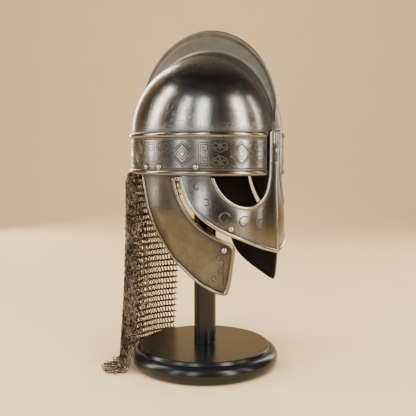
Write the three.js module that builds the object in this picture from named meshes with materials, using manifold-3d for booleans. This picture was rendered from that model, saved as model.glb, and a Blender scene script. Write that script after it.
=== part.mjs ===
// Crested face-plate helmet with a mail curtain, on its display stand.
// Millimetres, +Z up. The helmet looks along -Y and the wearer's right side is -X.
// The origin is the centre of the stand base's underside.
//
// Everything on the helmet follows one oval wall. A place on it is given by an angle in degrees,
// 0 in front and growing towards the wearer's right, by a height, and by a distance outward.

import * as THREE from 'three';
import { mergeVertices } from 'three/addons/utils/BufferGeometryUtils.js';
import Module from 'manifold-3d';

const wasm = await Module();
wasm.setup();

// Driving dimensions

const SHEET = 1.6;              // wall of every steel plate
const GAP = 0.35;               // clearance between two pieces that touch
const BAND_HALF_LENGTH = 116.2; // brow band's outer face, front to back
const BAND_HALF_WIDTH = 100.9;  // brow band's outer face, side to side
const WALL_CENTRE_Y = -2.5;
const BAND_BOTTOM_BEAD = 289.6; // heights of the middle of the band's two beads
const BAND_TOP_BEAD = 341.0;
const BEAD_RADIUS = 3.6;
const BEAD_PROUD = 2.4;
const BAND_END_HALF_GAP = 22;   // the band stops this far from the middle, in front

const TUCK = SHEET + GAP;       // what lies under the band is this much further in
const TUCK_TOP = 316;           // how far up the plates reach under the band
const TUCK_BOTTOM = BAND_BOTTOM_BEAD - BEAD_RADIUS;
const FLARE_TOP = TUCK_BOTTOM - 6; // the plates start to come outward this low
const BOWL_EDGE = 318;
const BOWL_SPRING = 345;        // above this height the bowl's wall curves in
const BOWL_TOP = 456;
const BOWL_FRONT_EDGE = 340;    // the bowl's edge in front, beside the tongue
const TONGUE_HALF_WIDTH = 11;   // the bowl's tongue behind the nasal bar
const TONGUE_BOTTOM = 309;

const COMB_CENTRE_Z = 375;
const COMB_RADIUS = 118;
const COMB_TIP_ANGLE = 8;       // where the comb starts on the bowl, above the spring line
const COMB_RIM = 2.7;           // half thickness of the comb's rim
const COMB_WEB = 1.9;
const COMB_FOOT = 9.5;          // half width of the comb's foot

const PLATE_FLARE = 2.5;        // how far the face plate's lower edge stands proud of the band
const BORDER_RADIUS = 2.8;
const EYE_RIM_RADIUS = 2.7;
const BAR_HALF_WIDTH = 14.5;
const BAR_TOP = 345.7;
const BAR_RIB_RADIUS = 2.4;
const GUARD_TAPER = 0.045;      // share of the wall's size lost at the guards' tips
const GUARD_TIP_HEIGHT = 128;
const GUARD_LEAN = 20;          // how far the back of a guard's lower half leans in

const RIVET = { dome: 4, domeHeight: 2.6, shank: 2, hole: 2.3, burr: 3.4, burrHeight: 0.9 };

const MAIL_TOP = TUCK_BOTTOM - GAP;
const MAIL_THICK = 3;
const MAIL_FLOOR = 0.4;         // the mail's underside over the surface that the stand is on

const BASE_TOP = 30;
const BASE_FACE_RADIUS = 96.4;
const BASE_RING_RADIUS = 13.5;
const BASE_RING_CENTRE = 96.5;
const POST_RADIUS = 16.5;
const HEAD_RADIUS = 44;
const HEAD_CURVE = 62;          // rounder than the bowl, so it meets it at the crown only

// Small helpers

const radians = THREE.MathUtils.degToRad;
const smooth = (value) => THREE.MathUtils.smoothstep(value, 0, 1);

function steps(from, to, count) {
  return Array.from({ length: count + 1 }, (_, i) => from + ((to - from) * i) / count);
}

function wall(angle, height, outward, scale = 1) {
  const turn = radians(angle);
  return new THREE.Vector3(
    -(BAND_HALF_WIDTH * scale + outward) * Math.sin(turn),
    WALL_CENTRE_Y - (BAND_HALF_LENGTH * scale + outward) * Math.cos(turn),
    height,
  );
}

function meshOf(points, triangles) {
  const geometry = new THREE.BufferGeometry();
  geometry.setAttribute('position', new THREE.Float32BufferAttribute(points.flatMap((p) => p.toArray()), 3));
  geometry.setIndex(triangles);
  let volume = 0;
  for (let i = 0; i < triangles.length; i += 3) {
    const [a, b, c] = [points[triangles[i]], points[triangles[i + 1]], points[triangles[i + 2]]];
    volume += a.dot(b.clone().cross(c)) / 6;
  }
  if (volume < 0) {
    for (let i = 0; i < triangles.length; i += 3) {
      [triangles[i + 1], triangles[i + 2]] = [triangles[i + 2], triangles[i + 1]];
    }
    geometry.setIndex(triangles);
  }
  return geometry;
}

// A closed skin over equal rings of points; flat gives one ring's outline for the two end caps.
function skin(rings, flat) {
  const size = flat.length;
  const triangles = [];
  for (let r = 0; r + 1 < rings.length; r += 1) {
    for (let i = 0; i < size; i += 1) {
      const [a, b] = [r * size + i, r * size + ((i + 1) % size)];
      triangles.push(a, b, b + size, a, b + size, a + size);
    }
  }
  const last = (rings.length - 1) * size;
  for (const [a, b, c] of THREE.ShapeUtils.triangulateShape(flat, [])) {
    const [i, j, k] = THREE.ShapeUtils.area(flat) > 0 ? [a, c, b] : [a, b, c];
    triangles.push(i, j, k, last + i, last + k, last + j);
  }
  const turned = THREE.ShapeUtils.area(flat) > 0 ? triangles : flipCaps(triangles, rings.length, size);
  return meshOf(rings.flat(), turned);
}

// The flat outline of a thin wall's section: up its outside and back down its inside
function wallOutline(rows) {
  return [
    ...steps(0, 1, rows).map((v) => new THREE.Vector2(1, v)),
    ...steps(1, 0, rows).map((v) => new THREE.Vector2(0, v)),
  ];
}

function flipCaps(triangles, ringCount, size) {
  const walls = (ringCount - 1) * size * 6;
  const flipped = triangles.slice();
  for (let i = walls; i < flipped.length; i += 3) {
    [flipped[i + 1], flipped[i + 2]] = [flipped[i + 2], flipped[i + 1]];
  }
  return flipped;
}

function toSolid(geometry) {
  const bare = geometry.clone();
  bare.deleteAttribute('normal');
  bare.deleteAttribute('uv');
  const merged = mergeVertices(bare, 1e-4);
  return new wasm.Manifold(new wasm.Mesh({
    numProp: 3,
    vertProperties: Float32Array.from(merged.attributes.position.array),
    triVerts: Uint32Array.from(merged.index.array),
  }));
}

function toGeometry(solid) {
  const mesh = solid.getMesh();
  const geometry = new THREE.BufferGeometry();
  geometry.setAttribute('position', new THREE.BufferAttribute(Float32Array.from(mesh.vertProperties), 3));
  geometry.setIndex(new THREE.BufferAttribute(Uint32Array.from(mesh.triVerts), 1));
  geometry.computeVertexNormals();
  return geometry;
}

function rod(points, radius, count, sides = 6) {
  const section = new THREE.Shape(steps(0, 2 * Math.PI, sides).slice(0, sides).map(
    (turn) => new THREE.Vector2(radius * Math.cos(turn), radius * Math.sin(turn)),
  ));
  const path = new THREE.CatmullRomCurve3(points, false, 'centripetal');
  return new THREE.ExtrudeGeometry(section, { steps: count, bevelEnabled: false, extrudePath: path });
}

// Turns and moves a shape made round +Z so that it stands on a surface at one place.
function placeOn(geometry, surface, angle, height) {
  const small = 0.5;
  const here = surface(angle, height);
  const along = surface(angle + small, height).sub(surface(angle - small, height));
  const up = surface(angle, height + small).sub(surface(angle, height - small));
  const outward = up.cross(along).normalize();
  if (outward.dot(new THREE.Vector3(here.x, here.y, 0)) < 0) outward.negate();
  const turn = new THREE.Quaternion().setFromUnitVectors(new THREE.Vector3(0, 0, 1), outward);
  return geometry.applyMatrix4(new THREE.Matrix4().compose(here, turn, new THREE.Vector3(1, 1, 1)));
}

function drillFor(surface, angle, height) {
  const cylinder = new THREE.CylinderGeometry(RIVET.hole, RIVET.hole, 12, 8);
  return toSolid(placeOn(cylinder.rotateX(Math.PI / 2), surface, angle, height));
}

// A plate on the wall, cut to an outline of angles and heights that is open at its top.
// Each column of the plate spans the outline at one angle, and bends where it goes under the band.
function plate(outline, surface, rows) {
  const widest = 4.6;     // degrees between two columns
  const steepest = 18;    // millimetres that an edge may climb between two columns
  const narrowest = 0.35;
  const last = Math.max(...outline.map((p) => p.x));
  const columns = [];
  for (const angle of steps(-last, last, 8 * Math.ceil(last))) {
    const crossings = [];
    outline.forEach((from, i) => {
      const to = outline[(i + 1) % outline.length];
      if ((from.x - angle) * (to.x - angle) < 0) {
        crossings.push(from.y + ((to.y - from.y) * (angle - from.x)) / (to.x - from.x));
      }
    });
    if (crossings.length < 2) continue;
    const column = { angle, low: Math.min(...crossings), high: Math.max(...crossings) };
    const before = columns[columns.length - 1] ?? { angle: -Infinity, low: 0, high: 0 };
    const climb = Math.max(Math.abs(column.low - before.low), Math.abs(column.high - before.high));
    const apart = angle - before.angle;
    if (column.high - column.low < 2 || apart < narrowest) continue;
    if (apart > widest || climb > steepest) columns.push(column);
  }
  const rings = columns.map(({ angle, low, high }) => {
    const bend = Math.min(TUCK_BOTTOM, THREE.MathUtils.lerp(low, high, 0.9));
    const heights = [...steps(low, bend, rows - 1), high];
    const outside = heights.map((height) => surface(angle, height, 0));
    const inside = heights.map((height) => surface(angle, height, -SHEET)).reverse();
    return [...outside, ...inside];
  });
  return toSolid(skin(rings, wallOutline(rows)));
}

// Sampled outline through its named points, as angle and height pairs.
function trace(points, count) {
  const path = new THREE.CatmullRomCurve3(
    points.map(({ angle, height }) => new THREE.Vector3(angle * 2, height, 0)),
    false,
    'centripetal',
  );
  return path.getSpacedPoints(count).map((p) => new THREE.Vector2(p.x / 2, p.y));
}

const mirrored = (outline) => outline.map((p) => new THREE.Vector2(-p.x, p.y)).reverse();

// Bowl: a raised dome over an oval, open below, with a tongue behind the nasal bar

function dome(halfLength, halfWidth, edge, top) {
  const profile = [new THREE.Vector2(0, edge), new THREE.Vector2(halfLength, edge)];
  for (const turn of steps(0, 90, 8)) {
    const rise = radians(turn);
    const radius = turn === 90 ? 0 : halfLength * Math.cos(rise);
    profile.push(new THREE.Vector2(radius, BOWL_SPRING + (top - BOWL_SPRING) * Math.sin(rise)));
  }
  const lathe = new THREE.LatheGeometry(profile, 36).rotateX(Math.PI / 2);
  return toSolid(lathe.scale(halfWidth / halfLength, 1, 1).translate(0, WALL_CENTRE_Y, 0));
}

const BOWL_HALF_LENGTH = BAND_HALF_LENGTH - TUCK;
const BOWL_HALF_WIDTH = BAND_HALF_WIDTH - TUCK;

function boxOf(x0, x1, y0, y1, z0, z1) {
  const box = new THREE.BoxGeometry(x1 - x0, y1 - y0, z1 - z0);
  return toSolid(box.translate((x0 + x1) / 2, (y0 + y1) / 2, (z0 + z1) / 2));
}

function bowlSolid() {
  const inside = dome(BOWL_HALF_LENGTH - SHEET, BOWL_HALF_WIDTH - SHEET, TONGUE_BOTTOM - 5, BOWL_TOP - SHEET);
  const far = 130;
  const tongueEdge = TONGUE_HALF_WIDTH;
  const sideEdge = BAND_END_HALF_GAP + 6;
  return dome(BOWL_HALF_LENGTH, BOWL_HALF_WIDTH, TONGUE_BOTTOM, BOWL_TOP)
    .subtract(inside)
    .subtract(boxOf(-far, -tongueEdge, -far, far, TONGUE_BOTTOM - 5, BOWL_EDGE))
    .subtract(boxOf(tongueEdge, far, -far, far, TONGUE_BOTTOM - 5, BOWL_EDGE))
    .subtract(boxOf(-tongueEdge - 1, tongueEdge + 1, 0, far, TONGUE_BOTTOM - 5, BOWL_EDGE))
    .subtract(boxOf(-sideEdge, -tongueEdge, -far, 0, TONGUE_BOTTOM, BOWL_FRONT_EDGE))
    .subtract(boxOf(tongueEdge, sideEdge, -far, 0, TONGUE_BOTTOM, BOWL_FRONT_EDGE));
}

// Comb: a thick web that follows the bowl's middle line, a rim along its edge and a spread foot

function combGeometry() {
  const stations = steps(COMB_TIP_ANGLE, 180 - COMB_TIP_ANGLE, 21);
  const endRun = 13;        // degrees over which each end rises to its full height
  const sideCurve = 82;     // radius of the bowl across its middle line
  const rings = stations.map((station) => {
    const turn = radians(station);
    const rise = BOWL_TOP - BOWL_SPRING + GAP;
    const reach = BOWL_HALF_LENGTH + GAP;
    const foot = new THREE.Vector2(-reach * Math.cos(turn), rise * Math.sin(turn));
    const normal = new THREE.Vector2(foot.x / reach ** 2, foot.y / rise ** 2).normalize();
    foot.add(new THREE.Vector2(WALL_CENTRE_Y, BOWL_SPRING));
    const centre = new THREE.Vector2(0, COMB_CENTRE_Z);
    const away = foot.clone().sub(centre);
    const along = away.dot(normal);
    const toCircle = -along + Math.sqrt(along ** 2 - away.lengthSq() + COMB_RADIUS ** 2);
    const fromEnd = Math.min(station - COMB_TIP_ANGLE, 180 - COMB_TIP_ANGLE - station);
    const grow = smooth(0.08 + (0.92 * fromEnd) / endRun);
    const height = Math.max(1.2, toCircle * (0.45 + 0.55 * grow));
    const half = (share, width) => [share * height, width * (0.3 + 0.7 * grow)];
    const side = [
      half(0, COMB_FOOT),
      half(0.05, COMB_FOOT * 0.86),
      half(0.16, COMB_FOOT * 0.42),
      half(0.42, COMB_WEB),
      half(0.84, COMB_WEB),
      half(0.9, COMB_RIM),
      half(1, COMB_RIM * 0.72),
    ];
    const section = [...side, ...side.map(([up, out]) => [up, -out]).reverse()];
    return section.map(([up, out]) => {
      const at = foot.clone().addScaledVector(normal, up);
      // the foot bends down with the bowl's side
      const drop = up === 0 ? out ** 2 / (2 * sideCurve) : 0;
      at.addScaledVector(normal, -drop * Math.sin(turn));
      return new THREE.Vector3(out, at.x, at.y);
    });
  });
  const flat = [0, 0.05, 0.16, 0.42, 0.84, 0.9, 1];
  const widths = [5, 4.5, 3, 1, 1, 2, 1.5];
  const outline = [
    ...flat.map((up, i) => new THREE.Vector2(widths[i], up * 20)),
    ...flat.map((up, i) => new THREE.Vector2(-widths[i], up * 20)).reverse(),
  ];
  return skin(rings, outline);
}

function combSolid() {
  const clearance = dome(BOWL_HALF_LENGTH + GAP, BOWL_HALF_WIDTH + GAP, BOWL_SPRING - 10, BOWL_TOP + GAP);
  return toSolid(combGeometry()).subtract(clearance);
}

// Brow band: a strip with a half-round bead along its top and bottom, ended with rounded beads

function bandSolid() {
  const endAngle = THREE.MathUtils.radToDeg(Math.asin(BAND_END_HALF_GAP / BAND_HALF_WIDTH));
  const bead = (middle) => steps(-90, 90, 3).map((turn) => ({
    up: middle + BEAD_RADIUS * Math.sin(radians(turn)),
    proud: BEAD_PROUD * Math.cos(radians(turn)),
    middle,
  }));
  const section = [
    { up: BAND_BOTTOM_BEAD - BEAD_RADIUS, proud: -SHEET },
    ...bead(BAND_BOTTOM_BEAD),
    ...bead(BAND_TOP_BEAD),
    { up: BAND_TOP_BEAD + BEAD_RADIUS, proud: -SHEET },
  ];
  const ends = [0, 0.7, 2.2];
  const inner = steps(endAngle + ends[2], 360 - endAngle - ends[2], 50);
  const stations = [
    ...ends.slice(0, 2).map((turn) => endAngle + turn),
    ...inner,
    ...ends.slice(0, 2).map((turn) => 360 - endAngle - turn).reverse(),
  ];
  const rings = stations.map((angle) => {
    const fromEnd = Math.min(angle - endAngle, 360 - endAngle - angle);
    const size = Math.sqrt(1 - (1 - Math.min(1, fromEnd / ends[2])) ** 2 * 0.85);
    return section.map(({ up, proud, middle }) => {
      const raised = proud > 0 ? proud * size : proud;
      const high = middle && proud > 0 ? middle + (up - middle) * size : up;
      return wall(angle, high, raised);
    });
  });
  const flat = section.map(({ up, proud }) => new THREE.Vector2(proud, up));
  return toSolid(skin(rings, flat));
}

// Face plate: nasal bar, two eye openings that the band closes above, and two arms under the band

function faceOutward(angle, height) {
  const arm = (PLATE_FLARE + TUCK) * smooth((FLARE_TOP - height) / 60) - TUCK;
  const nose = PLATE_FLARE * smooth((TUCK_BOTTOM - height) / 90);
  return THREE.MathUtils.lerp(nose, arm, smooth((Math.abs(angle) - 10) / 30));
}

const faceWall = (angle, height, outward = 0) => wall(angle, height, outward + faceOutward(angle, height));

const BAR_ANGLE = THREE.MathUtils.radToDeg(Math.asin(BAR_HALF_WIDTH / BAND_HALF_WIDTH));

// from the tip in the middle, back and up to the arm's rear corner under the band
const FACE_EDGE = [
  { angle: 0, height: 179 },
  { angle: 12, height: 184.6 },
  { angle: 23.2, height: 191.2 },
  { angle: 38.3, height: 203 },
  { angle: 47.3, height: 210.2 },
  { angle: 55.9, height: 219.4 },
  { angle: 64.4, height: 232.4 },
  { angle: 71.5, height: 248 },
  { angle: 76.8, height: 270 },
  { angle: 78.6, height: 285 },
  { angle: 79.2, height: TUCK_TOP },
];

// from the arm's front corner, down round the eye and up the side of the bar
const EYE_EDGE = [
  { angle: 58, height: TUCK_TOP },
  { angle: 57, height: 295 },
  { angle: 55.8, height: 284 },
  { angle: 51.6, height: 267 },
  { angle: 45.5, height: 253.6 },
  { angle: 38.3, height: 245.8 },
  { angle: 30.6, height: 243.3 },
  { angle: 23.8, height: 245.4 },
  { angle: 16.9, height: 253.6 },
  { angle: 11.6, height: 266.3 },
  { angle: 9.2, height: 280 },
  { angle: BAR_ANGLE + 0.2, height: 300 },
  { angle: BAR_ANGLE, height: BAR_TOP - 10 },
  { angle: BAR_ANGLE - 0.3, height: BAR_TOP - 2.5 },
  { angle: BAR_ANGLE - 1.6, height: BAR_TOP },
];

const borderPoint = (surface, inset) => (p) => surface(p.x, p.y + inset, -SHEET / 2);

function faceSolid() {
  const half = [...trace(FACE_EDGE, 30), ...trace(EYE_EDGE, 40)];
  const outline = [...half, ...mirrored(half)];
  const edge = trace(FACE_EDGE, 30).filter((p) => p.y < TUCK_BOTTOM - BORDER_RADIUS - 1);
  const eye = trace(EYE_EDGE, 40);
  const underBand = (p) => p.y < TUCK_BOTTOM - EYE_RIM_RADIUS - 1 || p.x < 20;
  const shift = (sign) => (p) => new THREE.Vector2(p.x * sign, p.y);
  let solid = plate(outline, faceWall, 4);
  const border = [...edge.slice(1).map(shift(-1)).reverse(), ...edge];
  solid = solid.add(toSolid(rod(border.map(borderPoint(faceWall, 1.2)), BORDER_RADIUS, 30)));
  for (const sign of [1, -1]) {
    const rim = eye.filter(underBand).map(shift(sign)).map(borderPoint(faceWall, 0));
    solid = solid.add(toSolid(rod(rim, EYE_RIM_RADIUS, 18)));
  }
  const ribLine = [300, 260, 220, 182].map((height) => faceWall(0, height, 0));
  solid = solid.add(toSolid(rod(ribLine, BAR_RIB_RADIUS, 5)));
  return solid.subtract(bowlBehindBar());
}

// the bowl and its clearance, which the bar's rims stop at
function bowlBehindBar() {
  const grown = dome(BOWL_HALF_LENGTH + GAP, BOWL_HALF_WIDTH + GAP, TONGUE_BOTTOM - GAP, BOWL_TOP);
  return grown.intersect(boxOf(-BAR_HALF_WIDTH * 2, BAR_HALF_WIDTH * 2, -130, 0, TONGUE_BOTTOM - GAP, BOWL_TOP));
}

// Cheek guards: hang from two rivets each, with a raised border all round

const guardScale = (height) => {
  const share = (BAND_BOTTOM_BEAD - height) / (BAND_BOTTOM_BEAD - GUARD_TIP_HEIGHT);
  return 1 - GUARD_TAPER * THREE.MathUtils.clamp(share, 0, 1.2);
};

// the guards lean in towards the jaw at the back of their lower half
const guardWall = (angle, height, outward = 0) => {
  const tucked = TUCK * (smooth((FLARE_TOP - height) / 54) - 1);
  const lean = GUARD_LEAN * smooth((Math.abs(angle) - 42) / 45) * smooth((245 - height) / 110);
  return wall(angle, height, outward + tucked - lean, guardScale(height));
};

// from the rear top, down the rear edge, round the tip and back up to the front top
const GUARD_EDGE = [
  { angle: 114.6, height: TUCK_TOP },
  { angle: 114.4, height: 285 },
  { angle: 111.8, height: 266 },
  { angle: 104.6, height: 226.2 },
  { angle: 98.8, height: 199.4 },
  { angle: 89.8, height: 169.8 },
  { angle: 71.9, height: 145.4 },
  { angle: 54, height: 129.4 },
  { angle: 48.5, height: 126.7 },
  { angle: 45.2, height: 127.3 },
  { angle: 43.9, height: 132 },
  { angle: 39.9, height: 182 },
  { angle: 39.9, height: 188 },
  { angle: 42, height: 193 },
  { angle: 46.9, height: 197.4 },
  { angle: 54.6, height: 205 },
  { angle: 64.9, height: 218.4 },
  { angle: 74, height: 237.4 },
  { angle: 80.8, height: 259.9 },
  { angle: 84.3, height: 284 },
  { angle: 85, height: TUCK_TOP },
];

function guardSolid(sign) {
  const outline = trace(GUARD_EDGE, 70);
  const border = outline.filter((p) => p.y < TUCK_BOTTOM - BORDER_RADIUS - 1);
  const centre = new THREE.Vector2(75, 200);
  const inward = border.map((p) => {
    const toCentre = new THREE.Vector2((centre.x - p.x) * 2, centre.y - p.y).setLength(1.4);
    return new THREE.Vector2(p.x + toCentre.x / 2, p.y + toCentre.y);
  });
  const solid = plate(outline, guardWall, 4)
    .add(toSolid(rod(inward.map(borderPoint(guardWall, 0)), BORDER_RADIUS, 28)));
  return sign > 0 ? solid : solid.mirror([1, 0, 0]);
}

// Rivets: a dome on the outside, a shank through the plates and a burr inside

const bandWall = (angle, height) => wall(angle, height, 0);

const RIVETS = [
  { name: 'rivet_guard_rear', angle: 107.8, height: 297.5, surface: bandWall, layers: 2 },
  { name: 'rivet_guard_front', angle: 95, height: 297.3, surface: bandWall, layers: 2 },
  { name: 'rivet_arm', angle: 66.9, height: 297.9, surface: bandWall, layers: 2 },
  { name: 'rivet_face', angle: 42.9, height: 216, surface: faceWall, layers: 1 },
  { name: 'rivet_guard_corner', angle: 47, height: 186.4, surface: guardWall, layers: 1 },
];

const NASAL_RIVET = { name: 'rivet_nasal', angle: 0, height: 320.2, surface: faceWall, layers: 2 };

function rivetGeometry(layers) {
  const depth = layers * SHEET + (layers - 1) * GAP;
  const dome = steps(0, 90, 2).map((turn) => new THREE.Vector2(
    turn === 90 ? 0 : RIVET.dome * Math.cos(radians(turn)),
    GAP + RIVET.domeHeight * Math.sin(radians(turn)),
  ));
  const burrTop = -depth - GAP;
  const profile = [
    new THREE.Vector2(0, burrTop - RIVET.burrHeight),
    new THREE.Vector2(RIVET.burr, burrTop),
    new THREE.Vector2(RIVET.shank, burrTop),
    new THREE.Vector2(RIVET.shank, GAP),
    ...dome,
  ];
  return new THREE.LatheGeometry(profile, 8).rotateX(Math.PI / 2);
}

// Mail curtain: one sheet that hangs from the band at the back, flares and lies on the floor

// where the sheet's edge on the wearer's right lies at each height
const MAIL_EDGE = [
  { height: 0, angle: 119 },
  { height: 27, angle: 116 },
  { height: 45, angle: 110 },
  { height: 68, angle: 105 },
  { height: 113, angle: 101.5 },
  { height: 190, angle: 101.5 },
  { height: 227, angle: 105 },
  { height: 246, angle: 111 },
  { height: 270, angle: 122 },
  { height: 286, angle: 134 },
];

// and its far edge, on the wearer's left
const MAIL_FAR_EDGE = [
  { height: 0, angle: 213 },
  { height: 286, angle: 217.5 },
];

function edgeAngle(rows, height) {
  const above = Math.max(1, rows.findIndex((row) => row.height >= height));
  const [low, high] = [rows[above - 1], rows[above]];
  const share = (height - low.height) / (high.height - low.height);
  return THREE.MathUtils.lerp(low.angle, high.angle, share);
}

function mailOutward(height) {
  const belly = 5 * smooth((MAIL_TOP - height) / 22);
  const flare = 11.5 * THREE.MathUtils.clamp((270 - height) / 255, 0, 1) ** 2;
  return 2 + belly + flare;
}

// across runs from 0 at the right edge to 1 at the far edge; down is a length along the sheet,
// which hangs straight, bends outward and then lies on the floor
const MAIL_LOW = MAIL_FLOOR + MAIL_THICK / 2;
const MAIL_BEND = 9;
const MAIL_STRAIGHT = MAIL_TOP - MAIL_LOW - MAIL_BEND;

function mailPoint(across, down, outward) {
  const place = { height: MAIL_TOP - down, out: mailOutward(MAIL_TOP - down) + outward };
  if (down > MAIL_STRAIGHT) {
    const turn = Math.min((down - MAIL_STRAIGHT) / MAIL_BEND, Math.PI / 2);
    const run = Math.max(0, down - MAIL_STRAIGHT - (MAIL_BEND * Math.PI) / 2);
    const radius = MAIL_BEND - outward;
    place.height = MAIL_LOW + MAIL_BEND - radius * Math.sin(turn);
    place.out = mailOutward(MAIL_LOW + MAIL_BEND) + MAIL_BEND - radius * Math.cos(turn) + run;
  }
  const nearAngle = edgeAngle(MAIL_EDGE, place.height);
  const farAngle = edgeAngle(MAIL_FAR_EDGE, place.height);
  const angle = THREE.MathUtils.lerp(nearAngle, farAngle, across);
  return wall(angle, place.height, place.out);
}

// the right part of the sheet is pulled out into a tail on the floor
function mailLength(across) {
  const tail = 30 * (1 - smooth((across - 0.1) / 0.28)) * smooth(0.55 + across * 4);
  return MAIL_TOP - MAIL_LOW + tail;
}

function mailGeometry() {
  const half = MAIL_THICK / 2;
  const gathered = 24;      // the part just under the band, where the sheet swings out
  const rows = 15;
  const rings = steps(0, 1, 16).map((across) => {
    const downs = [
      ...steps(0, gathered, 3),
      ...steps(gathered, MAIL_STRAIGHT, 7).slice(1),
      ...steps(MAIL_STRAIGHT, mailLength(across), 5).slice(1),
    ];
    return [
      ...downs.map((down) => mailPoint(across, down, half)),
      ...downs.map((down) => mailPoint(across, down, -half)).reverse(),
    ];
  });
  return skin(rings, wallOutline(rows));
}

// Stand: a turned base with a moulded edge, and a post whose plain head carries the bowl

function baseGeometry() {
  const ringHeight = BASE_RING_RADIUS - 1;
  const ringPoint = (turn) => new THREE.Vector2(
    BASE_RING_CENTRE + BASE_RING_RADIUS * Math.cos(radians(turn)),
    ringHeight + BASE_RING_RADIUS * Math.sin(radians(turn)),
  );
  const lowest = THREE.MathUtils.radToDeg(Math.asin(-ringHeight / BASE_RING_RADIUS));
  const profile = [
    new THREE.Vector2(0, 0),
    ...steps(lowest, 76, 6).map(ringPoint),
    new THREE.Vector2(BASE_FACE_RADIUS + 3, BASE_TOP - 3.4),
    new THREE.Vector2(BASE_FACE_RADIUS + 0.8, BASE_TOP - 2.4),
    new THREE.Vector2(BASE_FACE_RADIUS, BASE_TOP),
    new THREE.Vector2(0, BASE_TOP),
  ];
  profile[1].y = 0;
  return new THREE.LatheGeometry(profile, 40).rotateX(Math.PI / 2);
}

function postGeometry() {
  const top = BOWL_TOP - SHEET - GAP;
  const cap = steps(HEAD_RADIUS, 0, 4).map(
    (radius) => new THREE.Vector2(radius, top - HEAD_CURVE + Math.sqrt(HEAD_CURVE ** 2 - radius ** 2)),
  );
  const profile = [
    new THREE.Vector2(0, BASE_TOP + GAP),
    new THREE.Vector2(POST_RADIUS, BASE_TOP + GAP),
    new THREE.Vector2(POST_RADIUS, cap[0].y - 18),
    new THREE.Vector2(HEAD_RADIUS * 0.6, cap[0].y - 9),
    new THREE.Vector2(HEAD_RADIUS, cap[0].y - 5),
    ...cap,
  ];
  return new THREE.LatheGeometry(profile, 24).rotateX(Math.PI / 2);
}

// Assembly

const steel = () => new THREE.MeshStandardMaterial({ color: 0xb4b0a8, roughness: 0.3, metalness: 1 });
const wornSteel = () => new THREE.MeshStandardMaterial({ color: 0x8f877a, roughness: 0.4, metalness: 1 });
const darkSteel = () => new THREE.MeshStandardMaterial({ color: 0x5c564d, roughness: 0.45, metalness: 1 });
const blackPaint = () => new THREE.MeshStandardMaterial({ color: 0x0b0b0c, roughness: 0.15, metalness: 0 });

const group = new THREE.Group();

function addPart(name, geometry, material) {
  const mesh = new THREE.Mesh(geometry, material);
  mesh.name = name;
  group.add(mesh);
}

let bowl = bowlSolid().subtract(drillFor(faceWall, 0, NASAL_RIVET.height));
let band = bandSolid();
let face = faceSolid().subtract(drillFor(faceWall, 0, NASAL_RIVET.height));
const guards = { right: guardSolid(1), left: guardSolid(-1) };

addPart(NASAL_RIVET.name, placeOn(rivetGeometry(2), faceWall, 0, NASAL_RIVET.height), steel());

for (const side of ['right', 'left']) {
  const sign = side === 'right' ? 1 : -1;
  for (const { name, angle, height, surface, layers } of RIVETS) {
    const drill = drillFor(surface, sign * angle, height);
    band = band.subtract(drill);
    face = face.subtract(drill);
    guards[side] = guards[side].subtract(drill);
    const rivet = placeOn(rivetGeometry(layers), surface, sign * angle, height);
    addPart(`${name}_${side}`, rivet, steel());
  }
}

addPart('bowl', toGeometry(bowl), steel());
addPart('comb', toGeometry(combSolid()), steel());
addPart('brow_band', toGeometry(band), steel());
addPart('face_plate', toGeometry(face), steel());
addPart('cheek_guard_right', toGeometry(guards.right), wornSteel());
addPart('cheek_guard_left', toGeometry(guards.left), wornSteel());
addPart('mail_curtain', mailGeometry(), darkSteel());
addPart('stand_post', postGeometry(), blackPaint());
addPart('stand_base', baseGeometry(), blackPaint());

export default group;
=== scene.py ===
"""Builds the look of a crested face-plate helmet with a mail curtain, on its display stand.

Sizes in the code are millimetres, +Z up. The helmet looks along -Y and the wearer's right side
is -X. A place on the helmet's oval wall is an angle in degrees, 0 in front and growing towards
the wearer's right, a height, and a distance outward.
"""

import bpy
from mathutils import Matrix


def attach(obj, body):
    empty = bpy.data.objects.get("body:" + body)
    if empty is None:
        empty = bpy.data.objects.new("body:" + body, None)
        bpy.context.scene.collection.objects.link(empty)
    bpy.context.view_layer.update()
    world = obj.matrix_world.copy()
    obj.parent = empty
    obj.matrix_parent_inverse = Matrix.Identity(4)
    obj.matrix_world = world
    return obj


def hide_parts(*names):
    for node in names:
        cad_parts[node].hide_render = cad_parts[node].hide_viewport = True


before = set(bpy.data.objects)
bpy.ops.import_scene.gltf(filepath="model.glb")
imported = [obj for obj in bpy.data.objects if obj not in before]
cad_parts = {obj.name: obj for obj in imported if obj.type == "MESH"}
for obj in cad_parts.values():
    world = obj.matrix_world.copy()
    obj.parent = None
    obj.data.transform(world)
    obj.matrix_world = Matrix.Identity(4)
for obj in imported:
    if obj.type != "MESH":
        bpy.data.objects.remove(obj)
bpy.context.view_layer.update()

import math

import bmesh
import bpy
import numpy as np
from bpy.props import FloatProperty, FloatVectorProperty, IntProperty, PointerProperty
from mathutils import Matrix, Vector
from mathutils.geometry import delaunay_2d_cdt

bl_info = {
    "name": "Crested Helmet on a Stand",
    "version": (1, 0, 0),
    "blender": (4, 5, 0),
    "location": "3D View > Sidebar > Helmet",
    "description": "Builds a crested steel helmet, its mail curtain and its black stand",
    "category": "Add Mesh",
}

MM = 0.001

# Sizes and outlines shared by the pieces

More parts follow.
